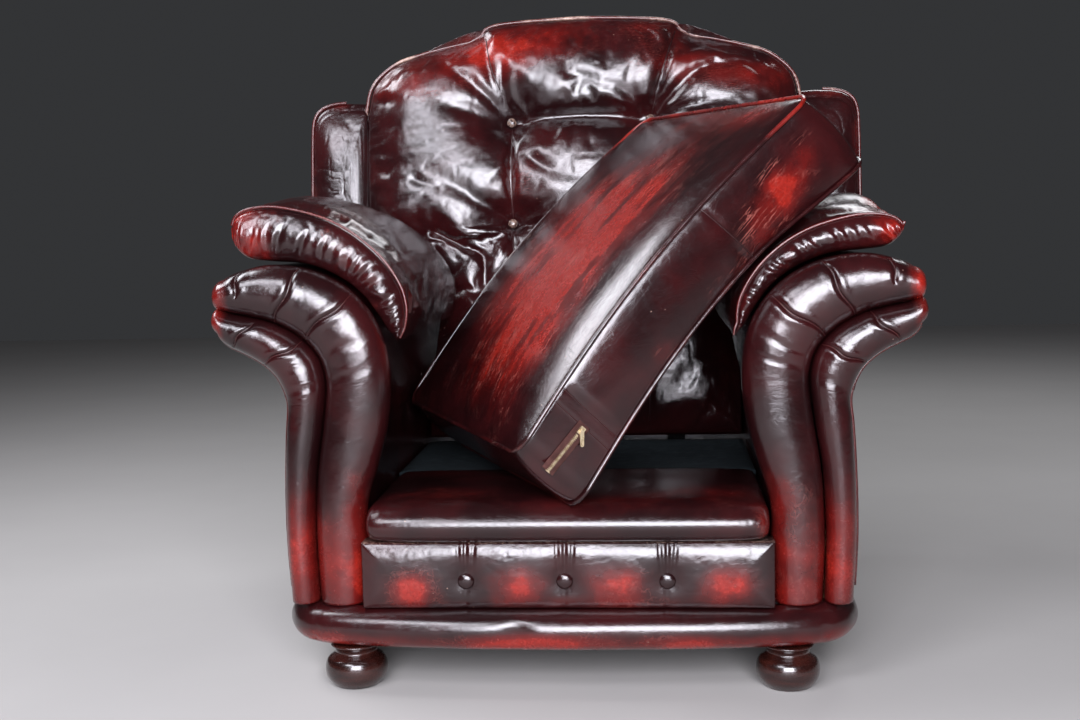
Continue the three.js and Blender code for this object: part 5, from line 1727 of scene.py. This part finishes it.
def look_along(yaw, pitch, roll):
    """The camera's turn, from its heading, its tilt down and its roll, in degrees."""
    y, p, r = (math.radians(v) for v in (yaw, pitch, roll))
    forward = np.array([math.sin(-y) * math.cos(p), math.cos(y) * math.cos(p), -math.sin(p)])
    right = np.array([math.cos(y), math.sin(y), 0.0])
    up = np.cross(right, forward)
    level_right = right * math.cos(r) - up * math.sin(r)
    level_up = right * math.sin(r) + up * math.cos(r)
    return np.stack([level_right, level_up, -forward], 1)


def area_light(name, place, aim, size, power, tint):
    data = bpy.data.lights.new(name, "AREA")
    data.shape = "RECTANGLE"
    data.size, data.size_y = size
    data.energy = power
    data.color = tint
    lamp = new_object(name, data)
    lamp.location = place
    lamp.rotation_euler = (Vector(aim) - Vector(place)).to_track_quat("-Z", "Y").to_euler()


def make_floor():
    corners = [(x * FLOOR_HALF, y * FLOOR_HALF, 0) for x, y in ((-1, -1), (1, -1), (1, 1), (-1, 1))]
    floor = mesh_piece("floor", corners, [[0, 1, 2, 3]], turn_out=False)
    floor.data.materials.append(plain_stage("pale_floor", FLOOR_COLOUR, 0.85))


def make_lights():
    world = bpy.data.worlds.new("studio")
    world.use_nodes = True
    background = world.node_tree.nodes["Background"]
    background.inputs["Color"].default_value = WORLD_COLOUR
    background.inputs["Strength"].default_value = WORLD_STRENGTH
    bpy.context.scene.world = world
    for light in LIGHTS:
        area_light(*light)
    bpy.context.scene.view_settings.view_transform = "Standard"


def make_camera():
    data = bpy.data.cameras.new("camera")
    data.lens = CAMERA_LENS
    data.sensor_width = CAMERA_SENSOR
    camera = new_object("camera", data)
    turn = Matrix(look_along(*CAMERA_TURN).tolist()).to_4x4()
    camera.matrix_world = Matrix.Translation(CAMERA_PLACE) @ turn
    bpy.context.scene.camera = camera


# ------------------------------------------------------------------ the add-on

class CLUBCHAIR_OT_stage(bpy.types.Operator):
    """Sets up the floor, the lights and the camera"""
    bl_idname = "club_chair.stage"
    bl_label = "Stage"
    bl_options = {"REGISTER", "UNDO"}

    def execute(self, context):
        make_floor()
        make_lights()
        make_camera()
        return {"FINISHED"}


class CLUBCHAIR_OT_base(bpy.types.Operator):
    """Makes the padded roll around the base and the bun feet"""
    bl_idname = "club_chair.base"
    bl_label = "Base roll and feet"
    bl_options = {"REGISTER", "UNDO"}

    def execute(self, context):
        make_base_roll()
        make_feet()
        return {"FINISHED"}


class CLUBCHAIR_OT_seat_front(bpy.types.Operator):
    """Makes the buttoned front panel, the seat lip and the cloth platform"""
    bl_idname = "club_chair.seat_front"
    bl_label = "Seat front"
    bl_options = {"REGISTER", "UNDO"}

    def execute(self, context):
        make_front_panel()
        make_lip()
        make_platform()
        return {"FINISHED"}


class CLUBCHAIR_OT_arms(bpy.types.Operator):
    """Makes the arms and the two rolls on the front of each"""
    bl_idname = "club_chair.arms"
    bl_label = "Arms"
    bl_options = {"REGISTER", "UNDO"}

    def execute(self, context):
        for side, s in SIDES:
            make_inside_arm(side, s)
            make_outside_arm(side, s)
        make_rolls()
        return {"FINISHED"}


class CLUBCHAIR_OT_pillows(bpy.types.Operator):
    """Makes the gathered pillows on the arms"""
    bl_idname = "club_chair.pillows"
    bl_label = "Arm pillows"
    bl_options = {"REGISTER", "UNDO"}

    def execute(self, context):
        make_pillows()
        return {"FINISHED"}


class CLUBCHAIR_OT_back(bpy.types.Operator):
    """Makes the buttoned back, its wings and the outside back"""
    bl_idname = "club_chair.back"
    bl_label = "Back"
    bl_options = {"REGISTER", "UNDO"}

    def execute(self, context):
        make_back_pad()
        make_wings()
        make_outside_back()
        return {"FINISHED"}


class CLUBCHAIR_OT_cushion(bpy.types.Operator):
    """Makes the loose seat cushion with its piping and zip"""
    bl_idname = "club_chair.cushion"
    bl_label = "Seat cushion"
    bl_options = {"REGISTER", "UNDO"}

    def execute(self, context):
        make_cushion()
        return {"FINISHED"}


class CLUBCHAIR_OT_finishes(bpy.types.Operator):
    """Gives the frame's own pieces their wood, steel, cloth and brass"""
    bl_idname = "club_chair.finishes"
    bl_label = "Frame finishes"
    bl_options = {"REGISTER", "UNDO"}

    def execute(self, context):
        make_frame_finishes()
        return {"FINISHED"}


STEPS = (CLUBCHAIR_OT_stage, CLUBCHAIR_OT_base, CLUBCHAIR_OT_seat_front, CLUBCHAIR_OT_arms,
         CLUBCHAIR_OT_pillows, CLUBCHAIR_OT_back, CLUBCHAIR_OT_cushion, CLUBCHAIR_OT_finishes)


class CLUBCHAIR_PT_panel(bpy.types.Panel):
    """Lists the chair's sizes, colours and pieces"""
    bl_idname = "CLUBCHAIR_PT_panel"
    bl_label = "Club Chair"
    bl_space_type = "VIEW_3D"
    bl_region_type = "UI"
    bl_category = "Club Chair"

    def draw(self, context):
        for group in (context.scene.club_chair_sizes, context.scene.club_chair_leather):
            for name in group.bl_rna.properties.keys():
                if name not in ("rna_type", "name"):
                    self.layout.prop(group, name)
        for step in STEPS:
            self.layout.operator(step.bl_idname)


CLASSES = (ClubChairLeather, ClubChairSizes, *STEPS, CLUBCHAIR_PT_panel)


def register():
    for cls in CLASSES:
        bpy.utils.register_class(cls)
    bpy.types.Scene.club_chair_leather = PointerProperty(type=ClubChairLeather)
    bpy.types.Scene.club_chair_sizes = PointerProperty(type=ClubChairSizes)


def unregister():
    del bpy.types.Scene.club_chair_sizes
    del bpy.types.Scene.club_chair_leather
    for cls in reversed(CLASSES):
        bpy.utils.unregister_class(cls)


def main():
    register()
    for step in STEPS:
        family, name = step.bl_idname.split(".")
        getattr(getattr(bpy.ops, family), name)()


if __name__ == "__main__":
    main()
